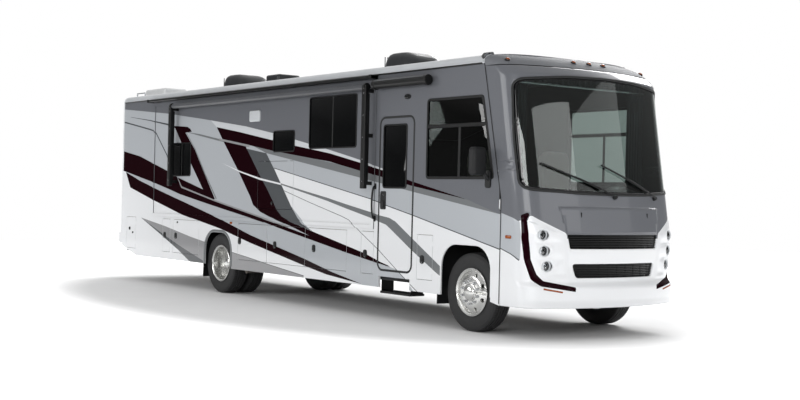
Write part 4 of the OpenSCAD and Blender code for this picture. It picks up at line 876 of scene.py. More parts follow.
# Headlamps: a bright ring, a turned reflector and a projector lens behind a clear cover
def headlamp(y, z, smoked):
    """Nested turned shapes about a line that points forward."""
    face = float(cap(across_y(y), z)[0]) - 0.004
    at = (face, y, z)
    forward = (1, 0, 0)
    bezel = lathe([(0.0665, -0.03), (0.0665, 0.004), (0.063, 0.009), (0.056, 0.006), (0.053, -0.004), (0.052, -0.03)],
                  at, forward, 48)
    bowl = lathe([(0.0, -0.075), (0.02, -0.072), (0.036, -0.055), (0.047, -0.03), (0.052, -0.008), (0.054, -0.008),
                  (0.054, -0.03), (0.05, -0.06), (0.03, -0.08), (0.0, -0.084)], at, forward, 48)
    lens = lathe([(0.0, -0.012), (0.012, -0.014), (0.022, -0.022), (0.028, -0.036), (0.029, -0.05), (0.0, -0.055)],
                 at, forward, 36)
    hood = lathe([(0.031, -0.03), (0.036, -0.026), (0.037, -0.055), (0.03, -0.055)], at, forward, 36)
    cover = lathe([(0.0, 0.003), (0.025, 0.002), (0.045, -0.001), (0.0525, -0.006), (0.0525, -0.009),
                   (0.045, -0.004), (0.025, -0.001), (0.0, 0.0)], at, forward, 36)
    return [(*bezel, 0), (*bowl, 1 if smoked else 2), (*lens, 3), (*hood, 1), (*cover, 3)]


parts = [p for side in (-1, 1) for i, (y, z) in enumerate(LAMPS) for p in headlamp(side * y, z, i < 2)]
piece("headlamps", "coach", [PALE, GLOSS_BLACK, CHROME, CLEAR_LENS], parts, replaces=["lamps"])

# Clearance lamps: a black foot and a ribbed amber dome on the brow
parts = []
for y in (-1.17, -0.26, 0.0, 0.26, 1.17):
    z = CROWN - 0.1 if abs(y) < 0.6 else CROWN - 0.12
    base = cap(across_y(y), z)
    tip = (0.42, 0.0, 0.9)
    foot = lathe([(0.036, -0.012), (0.036, 0.008), (0.028, 0.014), (0, 0.014)], base, tip, 24)
    dome = lathe([(0.026, 0.01), (0.026, 0.016), (0.021, 0.024), (0.011, 0.029), (0, 0.03)], base, tip, 24)
    parts += [(*foot, 0), (*dome, 1)]
# Tail lamps and rear markers
tail_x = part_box("rear_wall")[0].x
for side in (-1, 1):
    for z, look_of in ((1.0, 2), (1.18, 2), (0.83, 1)):
        at = (tail_x, side * (HALF - 0.16), z)
        parts.append((*lathe([(0.07, 0.0), (0.07, 0.012), (0.064, 0.018), (0.06, 0.012)], at, (-1, 0, 0), 40), 0))
        cover_line = [(0.062, 0.006), (0.06, 0.014), (0.04, 0.021), (0.0, 0.024)]
        parts.append((*lathe(cover_line, at, (-1, 0, 0), 40), look_of))
for y in (-1.17, -0.16, 0.0, 0.16, 1.17):
    parts.append((*slab(rounded(y - 0.04, y + 0.04, WALL_TOP - 0.04, WALL_TOP - 0.01, 0.008), ahead, tail_x,
                        tail_x - 0.018, 0.004), 2))
# Amber side markers and the low strips beside the bumper
for side, place in ((-1, right), (1, left)):
    parts.append((*slab(rounded(5.185, 5.285, 1.183, 1.222, 0.012), place, HALF - 0.004, HALF + 0.012, 0.006), 1))
    parts.append((*slab(rounded(REAR_X + 0.4, REAR_X + 0.47, 1.145, 1.183, 0.01), place, HALF - 0.004, HALF + 0.012,
                        0.006), 1))
    s = across_y(side * np.linspace(0.87, 1.1, 12))
    parts.append((*tube(cap(s, np.linspace(0.572, 0.61, 12), 0.001), ring(0.011, 8, 0.5), up=(1, 0, 0.2)), 1))
piece("marker_lamps", "coach", [BLACK_ABS, AMBER, RED_LENS], parts)

# Wipers: a boss, an arm and a curved blade lying on the glass
parts = []
for y in (-0.04, 0.78):
    boss = cap(across_y(y), 1.7)
    parts.append(lathe([(0.0, 0.045), (0.017, 0.045), (0.026, 0.03), (0.03, 0.004), (0.03, -0.01), (0, -0.01)],
                       boss, (1, 0, 0.17), 24))
    t = np.linspace(0, 1, 16)
    arm = cap(across_y(y - 0.6 * t), 1.7 + 0.235 * t + 0.03 * t * (1 - t), 0.038)
    parts.append(tube(arm, ring(0.011, 8, 0.6), up=(1, 0, 0)))
    t = np.linspace(0, 1, 24)
    blade = cap(across_y(y - 1.0 + 0.78 * t), 2.085 - 0.29 * t, 0.02)
    parts.append(tube(blade, ring(0.011, 8, 1.4), up=(1, 0, 0)))
piece("wiper_arms", "coach", [BLACK_ABS], parts, replaces=["wipers"])

# ---------- Windows ----------


def window(outline, place, depth, lines=(), frame_wide=0.022, glass=0):
    """A tinted pane a little inside its opening, a black frame round it and dividers across it."""
    parts = [(*slab(inset(outline, 0.002), place, depth - 0.012, depth - 0.003, 0.002), glass)]
    rim = inset(outline, frame_wide)
    rows = np.stack([place(o[:, 0], o[:, 1], d) for o, d in (
        (outline, depth - 0.01), (outline, depth + 0.004), (inset(outline, 0.004), depth + 0.008),
        (inset(rim, -0.004), depth + 0.008), (rim, depth + 0.002), (rim, depth - 0.01))])
    rows = np.concatenate([rows, rows[:1]])
    parts.append((*grid(rows, around=True), 1))
    out = place(0.0, 0.0, 2.0) - place(0.0, 0.0, 1.0)
    for (x0, z0), (x1, z1), wide in lines:
        path = np.linspace([x0, z0], [x1, z1], 4)
        parts.append((*tube(place(path[:, 0], path[:, 1], depth - 0.001), ring(wide / 2, 8, 0.5), up=out), 1))
    return parts


def cab_outline(grow=0.0):
    """The cab window: upright at the back, its front edge leaning with the seam."""
    low, high, back = 1.885 - grow, 2.92 + grow, FRONT_X - 0.865 - grow
    corners = [(back, low), (seam_at(low) - 0.075 + grow, low), (seam_at(high) - 0.075 + grow, high), (back, high)]
    return smooth_corners(corners, 0.06)


CAB_GLASS = surface("tinted_cab_glass", "#9aa3a0", "#959e9b", 1.0, (0.0, 0.02), **{
    "Transmission Weight": 1.0, "IOR": 1.45, "Specular IOR Level": 0.4})
coach_windows = []
for place in (right, left):
    coach_windows += window(cab_outline(), place, HALF, [
        ((FRONT_X - 0.86, 2.56), (seam_at(2.56) - 0.08, 2.56), 0.05), ((4.28, 1.9), (4.28, 2.56), 0.045)], 0.03, 2)
for x0, x1, z0, z1 in ((-4.22, -3.42, 1.92, 2.505), (-1.62, -0.82, 2.10, 2.70), (0.48, 1.78, 1.95, 2.70)):
    middle = (x0 + x1) / 2
    coach_windows += window(rounded(x0, x1, z0, z1, 0.05), left, HALF, [
        ((middle, z0 + 0.02), (middle, z1 - 0.02), 0.03)])
piece("coach_panes", "coach", [TINTED, BLACK_METAL, CAB_GLASS], coach_windows,
      replaces=["side_windows"])
room_windows = []
for x0, x1, z0, z1, split in ((-3.64, -2.94, 1.92, 2.505, True), (0.80, 2.036, 2.32, 3.08, True),
                              (-0.22, 0.41, 2.287, 2.62, False)):
    middle = (x0 + x1) / 2
    room_windows += window(rounded(x0, x1, z0, z1, 0.05), right, SLIDE_Y,
                           [((middle, z0 + 0.02), (middle, z1 - 0.02), 0.024)] if split else (), 0.016)
piece("room_panes", "slide_out", [TINTED, BLACK_METAL], room_windows, replaces=["slide_windows"])
low, high = span("entry_door_glass")
piece("door_pane", "door", [TINTED, BLACK_METAL],
      window(rounded(low[0], high[0], low[2], high[2], 0.05), right, HALF, (), 0.02), replaces=["entry_door_glass"])
# Vent hood on the slide-out room
vent = rounded(-0.94, -0.62, 2.78, 2.956, 0.03)
piece("room_vent", "slide_out", [PALE],
      [slab(vent, right, SLIDE_Y - 0.004, SLIDE_Y + 0.024, 0.014, 5)] + [
          slab(rounded(-0.92, -0.64, z, z + 0.012, 0.004), right, SLIDE_Y + 0.02, SLIDE_Y + 0.03, 0.003)
          for z in np.arange(2.81, 2.93, 0.03)])
clad(["side_windows", "slide_windows", "entry_door_glass"], TINTED)

# ---------- Doors: latches, handles, seals ----------


def latch(x, z, tall=0.09, wide=0.05):
    """A paddle latch: a raised oval body with a smaller paddle and a round lock."""
    return [(*slab(rounded(x - wide / 2, x + wide / 2, z - tall / 2, z + tall / 2, wide * 0.4), right, HALF,
                   HALF + 0.012, 0.006), 0),
            (*slab(rounded(x - wide / 3, x + wide / 3, z - tall / 4, z + tall / 3, wide * 0.25), right, HALF + 0.008,
                   HALF + 0.019, 0.005), 0),
            (*lathe([(0.0, 0.016), (0.006, 0.016), (0.008, 0.013), (0.008, 0.006), (0, 0.006)],
                    (x, -HALF, z - tall * 0.34), (0, -1, 0), 14), 1)]


handles = {2: [(-3.88, 0.878)], 3: [(-3.45, 0.882)], 4: [(-1.19, 0.886)], 5: [(-0.1, 0.869)], 6: [(1.0, 0.869)],
           7: [(2.3, 0.858)], 8: [(3.58, 0.846)], 1: [(-5.35, 0.95)]}
for bay, spots in handles.items():
    parts = [p for x, z in spots for p in latch(x, z, *((0.06, 0.05) if bay == 1 else (0.11, 0.085)))]
    if bay == 1:
        parts += latch(-5.21, 0.88, 0.035, 0.03)
    if bay == 3:
        parts += latch(-3.39, 1.12, 0.03, 0.028)
    piece(f"right_latch_{bay}", f"right_bay_{bay}", [BLACK_ABS, CHROME], parts)
for bay, x in ((1, -3.5), (2, -0.45), (3, 0.9)):
    parts = latch(x, 0.87, 0.11, 0.085)
    parts = [(p[0] * (1, -1, 1), [f[:, ::-1] for f in p[1]], p[2]) for p in parts]
    piece(f"left_latch_{bay}", f"left_bay_{bay}", [BLACK_ABS, CHROME], parts)
parts = latch(FRONT_X - 4.695, 1.51, 0.05, 0.045)
piece("hatch_lock", "hatch", [BLACK_ABS, CHROME], parts)

# Entry door: handle plate with keypad, a black seal round it
plate = rounded(2.64, 2.755, 1.475, 1.72, 0.02)
parts = [(*slab(plate, right, HALF - 0.002, HALF + 0.014, 0.006), 0),
         (*slab(rounded(2.66, 2.735, 1.5, 1.6, 0.014), right, HALF + 0.01, HALF + 0.034, 0.01), 0),
         (*lathe([(0, 0.02), (0.012, 0.02), (0.014, 0.016), (0.014, 0), (0, 0)],
                 (2.7, -HALF, 1.67), (0, -1, 0), 20), 1)]
piece("door_handle", "door", [BLACK_ABS, CHROME], parts)
door_line = rounded(2.59, 3.36, 0.65, 2.72, 0.11, 10)
piece("door_seal", "coach", [RUBBER],
      [bead(inset(door_line, -0.008), right, HALF + 0.001, 0.03, 0.008)])
# Grab loop behind the door
t = np.linspace(0, math.pi, 20)
grab = np.column_stack([np.full(20, 2.51), -HALF - 0.01 - 0.05 * np.sin(t) ** 0.7,
                        1.565 + 0.22 * np.cos(t)])
grab = np.vstack([grab[:1] * (1, 0, 1) + (0, -HALF + 0.004, 0), grab, grab[-1:] * (1, 0, 1) + (0, -HALF + 0.004, 0)])
parts = [tube(grab, ring(0.013, 10), up=(1, 0, 0))]
parts += [slab(rounded(2.49, 2.53, z - 0.04, z + 0.04, 0.015), right, HALF, HALF + 0.012, 0.004)
          for z in (1.785, 1.345)]
piece("grab_loop", "coach", [BLACK_METAL], parts)
# Oval porch light
parts = [(*slab(ring(0.07, 32, 0.5) + (FRONT_X - 1.286, 2.971), right, HALF, HALF + 0.012, 0.005), 0),
         (*slab(ring(0.055, 32, 0.42) + (FRONT_X - 1.286, 2.971), right, HALF + 0.008, HALF + 0.022, 0.009), 1)]
piece("porch_light", "coach", [BLACK_ABS, CLEAR_LENS], parts)

# ---------- Mouldings along the side ----------

parts = []
for side, place in ((-1, right), (1, left)):
    z = np.linspace(0.4, WALL_TOP, 60)
    parts.append((*tube(place(seam_at(z) + 0.004, z, HALF + 0.001), ring(0.006, 6, 0.7),
                        up=place(0.0, 0.0, 1.0)), 1))
    gutter = np.linspace(wall_low.x + 0.03, seam_at(WALL_TOP) - 0.03, 30)
    parts.append((*tube(place(gutter, np.full(30, WALL_TOP + 0.004), HALF + 0.004), ring(0.012, 8, 1.2),
                        up=place(0.0, 0.0, 1.0)), 1))
piece("side_mouldings", "coach", [PALE, BLACK_METAL], parts)


# Wheel arch lips
def arch(x0, x1, z_top, radius):
    """Upright, round, upright: the edge of a wheel arch as (x, z)."""
    turn = np.linspace(0, math.pi / 2, 14)
    front_part = np.column_stack([x1 - radius + radius * np.cos(turn), z_top - radius + radius * np.sin(turn)])
    rear_part = np.column_stack([x0 + radius - radius * np.sin(turn), z_top - radius + radius * np.cos(turn)])
    return np.vstack([[x1, 0.46], [x1, 0.6], front_part, rear_part, [x0, 0.6], [x0, 0.46]])


parts = []
for side, place in ((-1, right), (1, left)):
    edge = arch(REAR_X - 0.46, REAR_X + 0.46, 1.017, 0.33)
    parts.append((*tube(place(edge[:, 0], edge[:, 1], HALF + 0.002), ring(0.024, 8, 0.35), up=place(0.0, 0.0, 1.0)), 0))
    edge = arch(3.961, 4.932, 1.08, 0.3)
    parts.append((*tube(place(edge[:, 0], edge[:, 1], HALF - 0.006), ring(0.012, 8, 0.8), up=place(0.0, 0.0, 1.0)), 1))
piece("arch_lips", "coach", [MID_GREY, WHITE], parts)

# ---------- Awnings ----------

parts = []
for x in (2.40, -3.48):
    outer = rounded(x - 0.0475, x + 0.0475, 1.75, 3.16, 0.012, 4)
    parts.append((*slab(outer, right, 1.391, 1.443, 0.006), 0))
    parts.append((*slab(rounded(x - 0.03, x + 0.03, 1.8, 3.05, 0.01, 4), right, 1.36, 1.395, 0.004), 0))
    for z in (1.8, 2.45, 3.06):
        parts.append((*slab(rounded(x - 0.035, x + 0.035, z, z + 0.05, 0.008, 4), right, SLIDE_Y, 1.391, 0.004), 0))
    for z in np.linspace(1.85, 3.05, 5):
        parts.append((*lathe([(0, 0.008), (0.009, 0.008), (0.011, 0.004), (0.011, 0)],
                             (x, -1.443, z), (0, -1, 0), 10), 2))
    parts.append((*lathe([(0.0, 0), (0.052, 0), (0.056, 0.01), (0.056, 0.04), (0.05, 0.048), (0, 0.048)],
                         (x - 0.024, -1.397, 3.135), (1, 0, 0), 28), 0))
tube_x = np.linspace(-3.43, 2.35, 3)
fluted = np.linspace(0, 2 * math.pi, 48, endpoint=False)
section = np.column_stack([np.cos(fluted), np.sin(fluted)]) * (0.041 - 0.0025 * (np.cos(fluted * 8) > 0.75))[:, None]
parts.append((*tube(np.column_stack([tube_x, np.full(3, -1.397), np.full(3, 3.135)]), section), 1))
piece("patio_arms", "slide_out", [BLACK_METAL, GREY_METAL, CHROME], parts, replaces=["patio_awning"])

parts = []
case = np.array([(-1.297, 3.254), (-1.395, 3.254), (-1.403, 3.262), (-1.403, 3.285), (-1.39, 3.296), (-1.297, 3.296)])
x_line = np.linspace(-4.49, 2.51, 4)
points = np.stack([np.column_stack([np.full(len(case), x), case]) for x in x_line])
parts.append((*grid(points, around=True, ends=True), 0))
for x in (-4.49, 2.45):
    parts.append((*slab(rounded(x, x + 0.06, 3.245, 3.3, 0.01, 4), right, 1.29, 1.408, 0.004), 0))
# Roller of the small awning over the door: a wound roll in a case with end caps
roll = np.linspace(0, 2 * math.pi, 40, endpoint=False)
section = np.column_stack([np.cos(roll), np.sin(roll)]) * (0.062 + 0.006 * (np.sin(roll) > 0.2))[:, None]
line = np.column_stack([np.linspace(2.6, 3.7, 6), np.full(6, -1.375), np.full(6, 3.157)])
parts.append((*tube(line, section), 0))
for x in (2.555, 3.69):
    parts.append((*lathe([(0, 0), (0.06, 0), (0.07, 0.008), (0.07, 0.05), (0.062, 0.058), (0, 0.058)],
                         (x, -1.375, 3.155), (1, 0, 0), 36), 0))
for x in (2.62, 3.62):
    parts.append((*slab(rounded(x, x + 0.03, 3.13, 3.215, 0.006, 4), right, HALF, HALF + 0.06, 0.003), 0))
parts.append((*tube(line + (0, -0.05, 0.045), ring(0.008, 8)), 1))
piece("awning_cases", "coach", [BLACK_METAL, GREY_METAL], parts, replaces=["awnings"])

# ---------- Roof equipment ----------


def shroud(x0, x1, half, base, tall):
    """A domed cover: a superellipse in plan whose height falls off towards its edge, lower at the front.

    Each point is (distance from the middle, turn): the plan radius follows the superellipse and the height a high
    power of the distance, so the top is nearly flat and the sides steep.
    """
    ring_at = np.concatenate([[0, 0.3, 0.55, 0.72, 0.82], np.linspace(0.88, 1.0, 9)])[::-1]
    turn = np.linspace(0, 2 * math.pi, 80, endpoint=False)
    power = 0.36
    plan_x = np.sign(np.cos(turn)) * np.abs(np.cos(turn)) ** power
    plan_y = np.sign(np.sin(turn)) * np.abs(np.sin(turn)) ** power
    u = ring_at[:, None] * plan_x
    v = ring_at[:, None] * plan_y
    dome = (1 - ring_at[:, None] ** 9) ** 0.55
    lower = 1 - 0.22 * ease((u - 0.1) / 0.9)
    x = (x0 + x1) / 2 + (x1 - x0) / 2 * u
    y = half * v
    z = base + tall * dome * lower
    rows = np.stack([x, y, z], -1)
    skirt = rows[:1] * (1, 1, 0) + (0, 0, base)
    return grid(np.concatenate([skirt, rows]), around=True, ends=True)


low, high = span("air_conditioners")
parts = []
for x0 in (high[0] - 0.74, low[0]):
    parts.append((*shroud(x0, x0 + 0.74, 0.33, CROWN + 0.012, high[2] - CROWN - 0.012), 0))
    parts.append((*slab(rounded(x0 + 0.01, x0 + 0.73, -0.32, 0.32, 0.05), above, CROWN - 0.02, CROWN + 0.02, 0.006), 1))
    for y in np.linspace(-0.26, 0.26, 12):
        z = np.linspace(CROWN + 0.05, high[2] - 0.05, 8)
        rib = np.column_stack([np.full(8, x0 + 0.006), np.full(8, y), z])
        parts.append((*tube(rib, ring(0.007, 6), up=(0, 1, 0)), 1))
piece("air_shrouds", "coach", [SHROUD, BLACK_ABS], parts, replaces=["air_conditioners"])


def hatch_cover(x0, x1, y0, y1, base, tall):
    """A low vent: a flange and a crowned lid with rounded edges."""
    return [slab(rounded(x0, x1, y0, y1, 0.02), above, base - 0.02, base + 0.014, 0.004),
            slab(rounded(x0 + 0.015, x1 - 0.015, y0 + 0.015, y1 - 0.015, 0.05), above, base, base + tall, 0.035, 6)]


parts = [(*p, 0) for p in hatch_cover(REAR_X + 0.75, REAR_X + 1.2, -0.92, -0.47, CROWN - 0.01, 0.125)]
parts += [(*p, 0) for p in hatch_cover(REAR_X + 2.4, REAR_X + 2.8, -0.2, 0.2, CROWN, 0.08)]
parts += [(*p, 1) for p in hatch_cover(REAR_X - 3.56, REAR_X - 2.7, -1.0, -0.5, CROWN - 0.012, 0.122)]
parts.append((*lathe([(0.12, -0.02), (0.12, 0.02), (0.1, 0.04), (0.04, 0.052), (0, 0.054)],
                     (FRONT_X - 3.65, 0.3, CROWN), (0, 0, 1), 40), 1))
parts.append((*lathe([(0.025, -0.03), (0.025, 0.04), (0.04, 0.045), (0.03, 0.055), (0, 0.055)],
                     (REAR_X - 2.35, -0.62, CROWN), (0, 0, 1), 24), 1))
piece("roof_hatches", "coach", [SHROUD, VENT], parts, replaces=["roof_vents"])

# ---------- Mirrors ----------

parts = []
for side in (-1, 1):
    shell = rounded(0, 0.21, 1.93, 2.27, 0.05, 6)
    y0 = HALF + 0.085
    x0 = FRONT_X + 0.33
    place = (lambda u, v, d, side=side: np.stack(np.broadcast_arrays(d, side * (y0 + u), v), -1))
    parts.append((*slab(shell, place, x0 + 0.012, x0 + 0.112, 0.04, 6), 0))
    parts.append((*slab(inset(shell, 0.014), place, x0 + 0.02, x0 + 0.008, 0.002), 1))
    t = np.linspace(0, 1, 14)
    arm = np.column_stack([np.full(len(t), x0 + 0.05), side * (HALF + 0.012 + 0.11 * t), 1.885 + 0.1 * ease(t)])
    parts.append((*tube(arm, ring(0.03, 10, 0.7)), 0))
    foot = (lambda u, v, d, side=side: np.stack(np.broadcast_arrays(u, side * d, v), -1))
    parts.append((*slab(rounded(x0 - 0.01, x0 + 0.09, 1.78, 1.99, 0.03), foot, HALF, HALF + 0.022, 0.01), 0))
piece("mirror_heads", "coach", [BLACK_ABS, CHROME], parts, replaces=["mirrors"])

# ---------- Wheels ----------


def tyre_shape(centre_y, x):
    """A truck tyre: the section runs from bead to bead over a flat crown, and the crown's radius drops in four
    grooves round it and in slanting sipes across the shoulders, by angle."""
    turn = np.linspace(0, 2 * math.pi, 288, endpoint=False)
    half = TYRE_W / 2
    r = TYRE_R
    side = np.array([(RIM_R - 0.005, 0.096), (RIM_R + 0.012, 0.108), (RIM_R + 0.035, 0.116), (0.345, 0.1235),
                     (0.385, 0.1268), (0.41, 0.1275), (0.435, 0.126), (0.452, 0.1235), (0.455, 0.1205),
                     (0.468, 0.117), (0.478, 0.112)])
    crown_w = np.array([0.108, 0.104, 0.1, 0.072, 0.069, 0.0605, 0.0575, 0.0285, 0.0255, 0.0165, 0.0135])
    groove = np.array([0, 0, 0, 0, 1, 1, 0, 0, 1, 1, 0]) * 0.011
    crown_r = r - 0.006 * (crown_w / half) ** 2 - groove - np.array([0.004, 0.001] + [0] * 9)
    profile = np.vstack([side, np.column_stack([crown_r, crown_w])])
    profile = np.vstack([profile, (profile * (1, -1))[::-1]])
    out = np.broadcast_to(profile[:, 0:1], (len(profile), len(turn))).copy()
    along = np.broadcast_to(profile[:, 1:2], out.shape)
    on_shoulder = (np.abs(along) > 0.071) & (np.abs(along) < 0.112) & (out > 0.47)
    lug = np.cos(turn[None] * 96 + np.sign(along) * 0.4) > 0.45
    out = np.where(on_shoulder & lug, out - 0.007, out)
    points = np.stack([x + out * np.cos(turn), centre_y + along, TYRE_R + out * np.sin(turn)], -1)
    return grid(points, around=True)


def wheel_details(side, centre_y, x, dished):
    """Nuts in a ring, a domed hub cover and rounded rim lips, turned about the axle line."""
    at = np.array([x, centre_y, TYRE_R])
    axis = (0, side, 0)
    parts = []
    lip = [(0.2695, 0.107), (0.2925, 0.113), (0.2985, 0.118), (0.2985, 0.123), (0.293, 0.126), (0.284, 0.122),
           (0.276, 0.112), (0.27, 0.1), (0.2695, 0.09)]
    parts.append((*lathe(lip, at, axis, 96), 0))
    face = (-0.1375 if dished else 0.138)
    for k in range(10):
        a = math.radians(36 * k + 18)
        spot = at + np.array([0.1425 * math.cos(a), side * face, 0.1425 * math.sin(a)])
        parts.append((*lathe([(0.0205, 0.0), (0.0205, 0.006), (0.0165, 0.009), (0.0165, 0.03), (0.012, 0.036),
                              (0, 0.038)], spot, axis, 6), 1))
    if dished:
        cover = [(0.112, 0.0), (0.112, 0.02), (0.104, 0.05), (0.1, 0.1), (0.085, 0.15), (0.07, 0.158), (0.04, 0.162),
                 (0, 0.164)]
    else:
        cover = [(0.112, 0.0), (0.112, 0.006), (0.108, 0.012), (0.1, 0.014), (0.098, 0.022), (0.088, 0.034),
                 (0.07, 0.044), (0.045, 0.05), (0.02, 0.0525), (0, 0.053)]
    spot = at + np.array([0, side * face, 0])
    parts.append((*lathe(cover, spot, axis, 64), 0))
    return parts


def rim_disc(side, centre_y, x, dished):
    """Polished disc and barrel as one turned shell with eight round hand holes.

    The disc is a flat area in (radius, turn) with the holes cut out of it, then bent to the dish: its distance along
    the axle follows the radius."""
    face = -0.1375 if dished else 0.138
    radii = np.array([0.06, 0.1, 0.14, 0.178, 0.19, 0.2, 0.215, 0.23, 0.245, 0.26, 0.268])
    steps = np.linspace(0, 2 * math.pi, 97)
    middle_r, hole_r = 0.2265, 0.026
    area = [(0.06, 0), (0.27, 0), (0.27, 2 * math.pi * middle_r), (0.06, 2 * math.pi * middle_r)]
    holes = [(ring(hole_r, 24) + (middle_r, (k + 0.5) * math.pi / 4 * middle_r), None) for k in range(8)]
    extra_points = np.stack(np.meshgrid(radii, steps[1:-1] * middle_r), -1).reshape(-1, 2)
    where, tri, looks = divide([area], holes, extra_points)
    r, a = where[:, 0], where[:, 1] / middle_r
    sink = np.interp(r, [0.06, 0.178, 0.2, 0.25, 0.27], [0, 0, 0.004, 0.03, 0.045])
    along = face + (sink if dished else -sink)
    front = np.stack([x + r * np.cos(a), centre_y + side * along, TYRE_R + r * np.sin(a)], -1)
    plate_t = 0.016
    behind_face = front - np.array([0, side * plate_t, 0])
    rim_edges = np.concatenate([tri[:, [0, 1]], tri[:, [1, 2]], tri[:, [2, 0]]])
    key = np.sort(rim_edges, axis=1)
    _, index, times = np.unique(key, axis=0, return_index=True, return_counts=True)
    border = rim_edges[index[times == 1]]
    count = len(front)
    wall = np.column_stack([border[:, 0], border[:, 1], border[:, 1] + count, border[:, 0] + count])
    disc = (np.concatenate([front, behind_face]), [tri, tri[:, ::-1] + count, wall])
    inner_end = -0.1 if not dished else -0.12
    barrel = lathe([(0.2705, 0.112), (0.268, 0.09), (0.262, 0.05), (0.258, 0.0), (0.262, -0.05), (0.268, inner_end),
                    (0.284, inner_end), (0.284, 0.112)], (x, centre_y, TYRE_R), (0, side, 0), 96)
    return [(*disc, 0), (*barrel, 0)]


for side, label in ((1, "left"), (-1, "right")):
    piece(f"front_{label}_rubber", f"{label}_front", [TYRE], [tyre_shape(side * FRONT_Y, FRONT_X)],
          replaces=[f"front_{label}_tyre"], sharp=30)
    piece(f"front_{label}_rim", f"{label}_front", [POLISHED, CHROME, CASTING],
          rim_disc(side, side * FRONT_Y, FRONT_X, False) + wheel_details(side, side * FRONT_Y, FRONT_X, False),
          replaces=[f"front_{label}_wheel"], sharp=32)
    piece(f"rear_{label}_rubber_outer", f"{label}_rear", [TYRE], [tyre_shape(side * REAR_OUT, REAR_X)],
          replaces=[f"rear_{label}_tyres"], sharp=30)
    piece(f"rear_{label}_rubber_inner", f"{label}_rear", [TYRE], [tyre_shape(side * REAR_IN, REAR_X)],
          sharp=30)
    piece(f"rear_{label}_rim", f"{label}_rear", [POLISHED, CHROME, CASTING],
          rim_disc(side, side * REAR_OUT, REAR_X, True) + wheel_details(side, side * REAR_OUT, REAR_X, True)
          + rim_disc(-side, side * REAR_IN, REAR_X, True),
          replaces=[f"rear_{label}_wheels"], sharp=32)

# Brake drums behind the front wheels, on the knuckles
for side, label in ((1, "left"), (-1, "right")):
    drum = lathe([(0.05, -0.06), (0.2, -0.06), (0.205, -0.05), (0.205, 0.07), (0.19, 0.08), (0.05, 0.08)],
                 (FRONT_X, side * FRONT_Y, TYRE_R), (0, side, 0), 64)
    piece(f"front_{label}_drum", f"{label}_front", [CASTING], [drum])

# ---------- Cab ----------

# Steering wheel: a padded rim, three spokes and a round boss, about the tilted column
low, high = span("steering_wheel")
tilt = math.radians(48)
axis = np.array([-math.sin(tilt), 0, math.cos(tilt)])
column_top = np.array([SEAM_X - 0.04, 0.62, 1.65])
turn = np.linspace(0, 2 * math.pi, 64, endpoint=False)
flat_x = np.array([math.cos(tilt), 0, math.sin(tilt)])
rim_path = column_top + axis * 0.04 + 0.215 * (np.cos(turn)[:, None] * flat_x + np.sin(turn)[:, None] * (0, 1, 0))
parts = [tube(rim_path, ring(0.015, 12), up=axis, closed=True)]
parts.append(lathe([(0, 0.062), (0.04, 0.06), (0.06, 0.05), (0.066, 0.035), (0.06, 0.004), (0, 0.004)],
                   column_top, axis, 40))
for angle in (30, 150, 270):
    a = math.radians(angle)
    out = math.cos(a) * flat_x + math.sin(a) * np.array([0, 1, 0])
    t = np.linspace(0.05, 0.205, 8)[:, None]
    parts.append(tube(column_top + axis * (0.05 - 0.012 * (t - 0.05) / 0.155) + out * t, ring(0.018, 8, 0.4), up=axis))
piece("steering_rim", "hand_wheel", [BLACK_ABS], parts, replaces=["steering_wheel"])

# Instrument hood in front of the driver
hood = []
t = np.linspace(0, math.pi, 16)
rows = []
for x, r_y, r_z, lift in ((5.11, 0.24, 0.03, 0.0), (5.13, 0.25, 0.1, 0.0), (5.2, 0.26, 0.115, 0.0),
                          (5.35, 0.24, 0.06, 0.0),
                          (5.45, 0.2, 0.01, 0.0)):
    rows.append(np.column_stack([np.full(16, x), 0.62 + r_y * np.cos(t), 1.735 + lift + r_z * np.sin(t)]))
hood.append(grid(np.stack(rows)))
piece("instrument_hood", "coach", [DASH], hood, thick=0.004)
clad(["dashboard"], DASH)


def pad(low, high):
    """A seat pad's closed form: a superellipsoid, whose turns are raised to a low power so that it fills its box."""
    low, high = np.array(low), np.array(high)
    rise_turn = np.linspace(-math.pi / 2, math.pi / 2, 25)[:, None]
    v = np.linspace(-math.pi, math.pi, 48, endpoint=False)
    power = 0.32
    wide = np.abs(np.cos(rise_turn)) ** power
    shape = np.stack([
        wide * np.sign(np.cos(v)) * np.abs(np.cos(v)) ** power,
        wide * np.sign(np.sin(v)) * np.abs(np.sin(v)) ** power,
        np.broadcast_to(np.sign(np.sin(rise_turn)) * np.abs(np.sin(rise_turn)) ** 0.5, (25, 48))], -1)
    return grid((low + high) / 2 + (high - low) / 2 * shape, around=True, ends=True)


def stuff(obj, low, high):
    """Fills a pad as upholstery: an even mesh, blown up a little as cloth, held inside its own box."""
    even = obj.modifiers.new("even", "REMESH")
    even.mode, even.voxel_size = "VOXEL", 0.008
    bake(obj)
    cloth = obj.modifiers.new("cover", "CLOTH")
    cloth.settings.use_pressure = True
    cloth.settings.uniform_pressure_force = 4.0
    cloth.settings.effector_weights.gravity = 0.0
    cloth.settings.tension_stiffness = cloth.settings.compression_stiffness = 25.0
    before = read_points(obj.data)
    for number in range(1, 21):
        scene.frame_set(number)
    bake(obj)
    after = read_points(obj.data)
    moved = np.clip(after - before, -0.012, 0.012) if len(after) == len(before) else 0.0
    held = np.clip(before + moved, np.array(low), np.array(high))
    obj.data.vertices.foreach_set("co", held.astype(np.float32).ravel())
    scene.frame_set(1)
    obj.data.polygons.foreach_set("use_smooth", np.ones(len(obj.data.polygons), bool))


def read_points(mesh):
    """A mesh's points as rows."""
    points = np.zeros(len(mesh.vertices) * 3)
    mesh.vertices.foreach_get("co", points)
    return points.reshape(-1, 3)


def bake(obj):
    """Makes an object's modifiers permanent."""
    shown = obj.evaluated_get(bpy.context.evaluated_depsgraph_get())
    made = bpy.data.meshes.new_from_object(shown)
    obj.modifiers.clear()
    obj.data = made


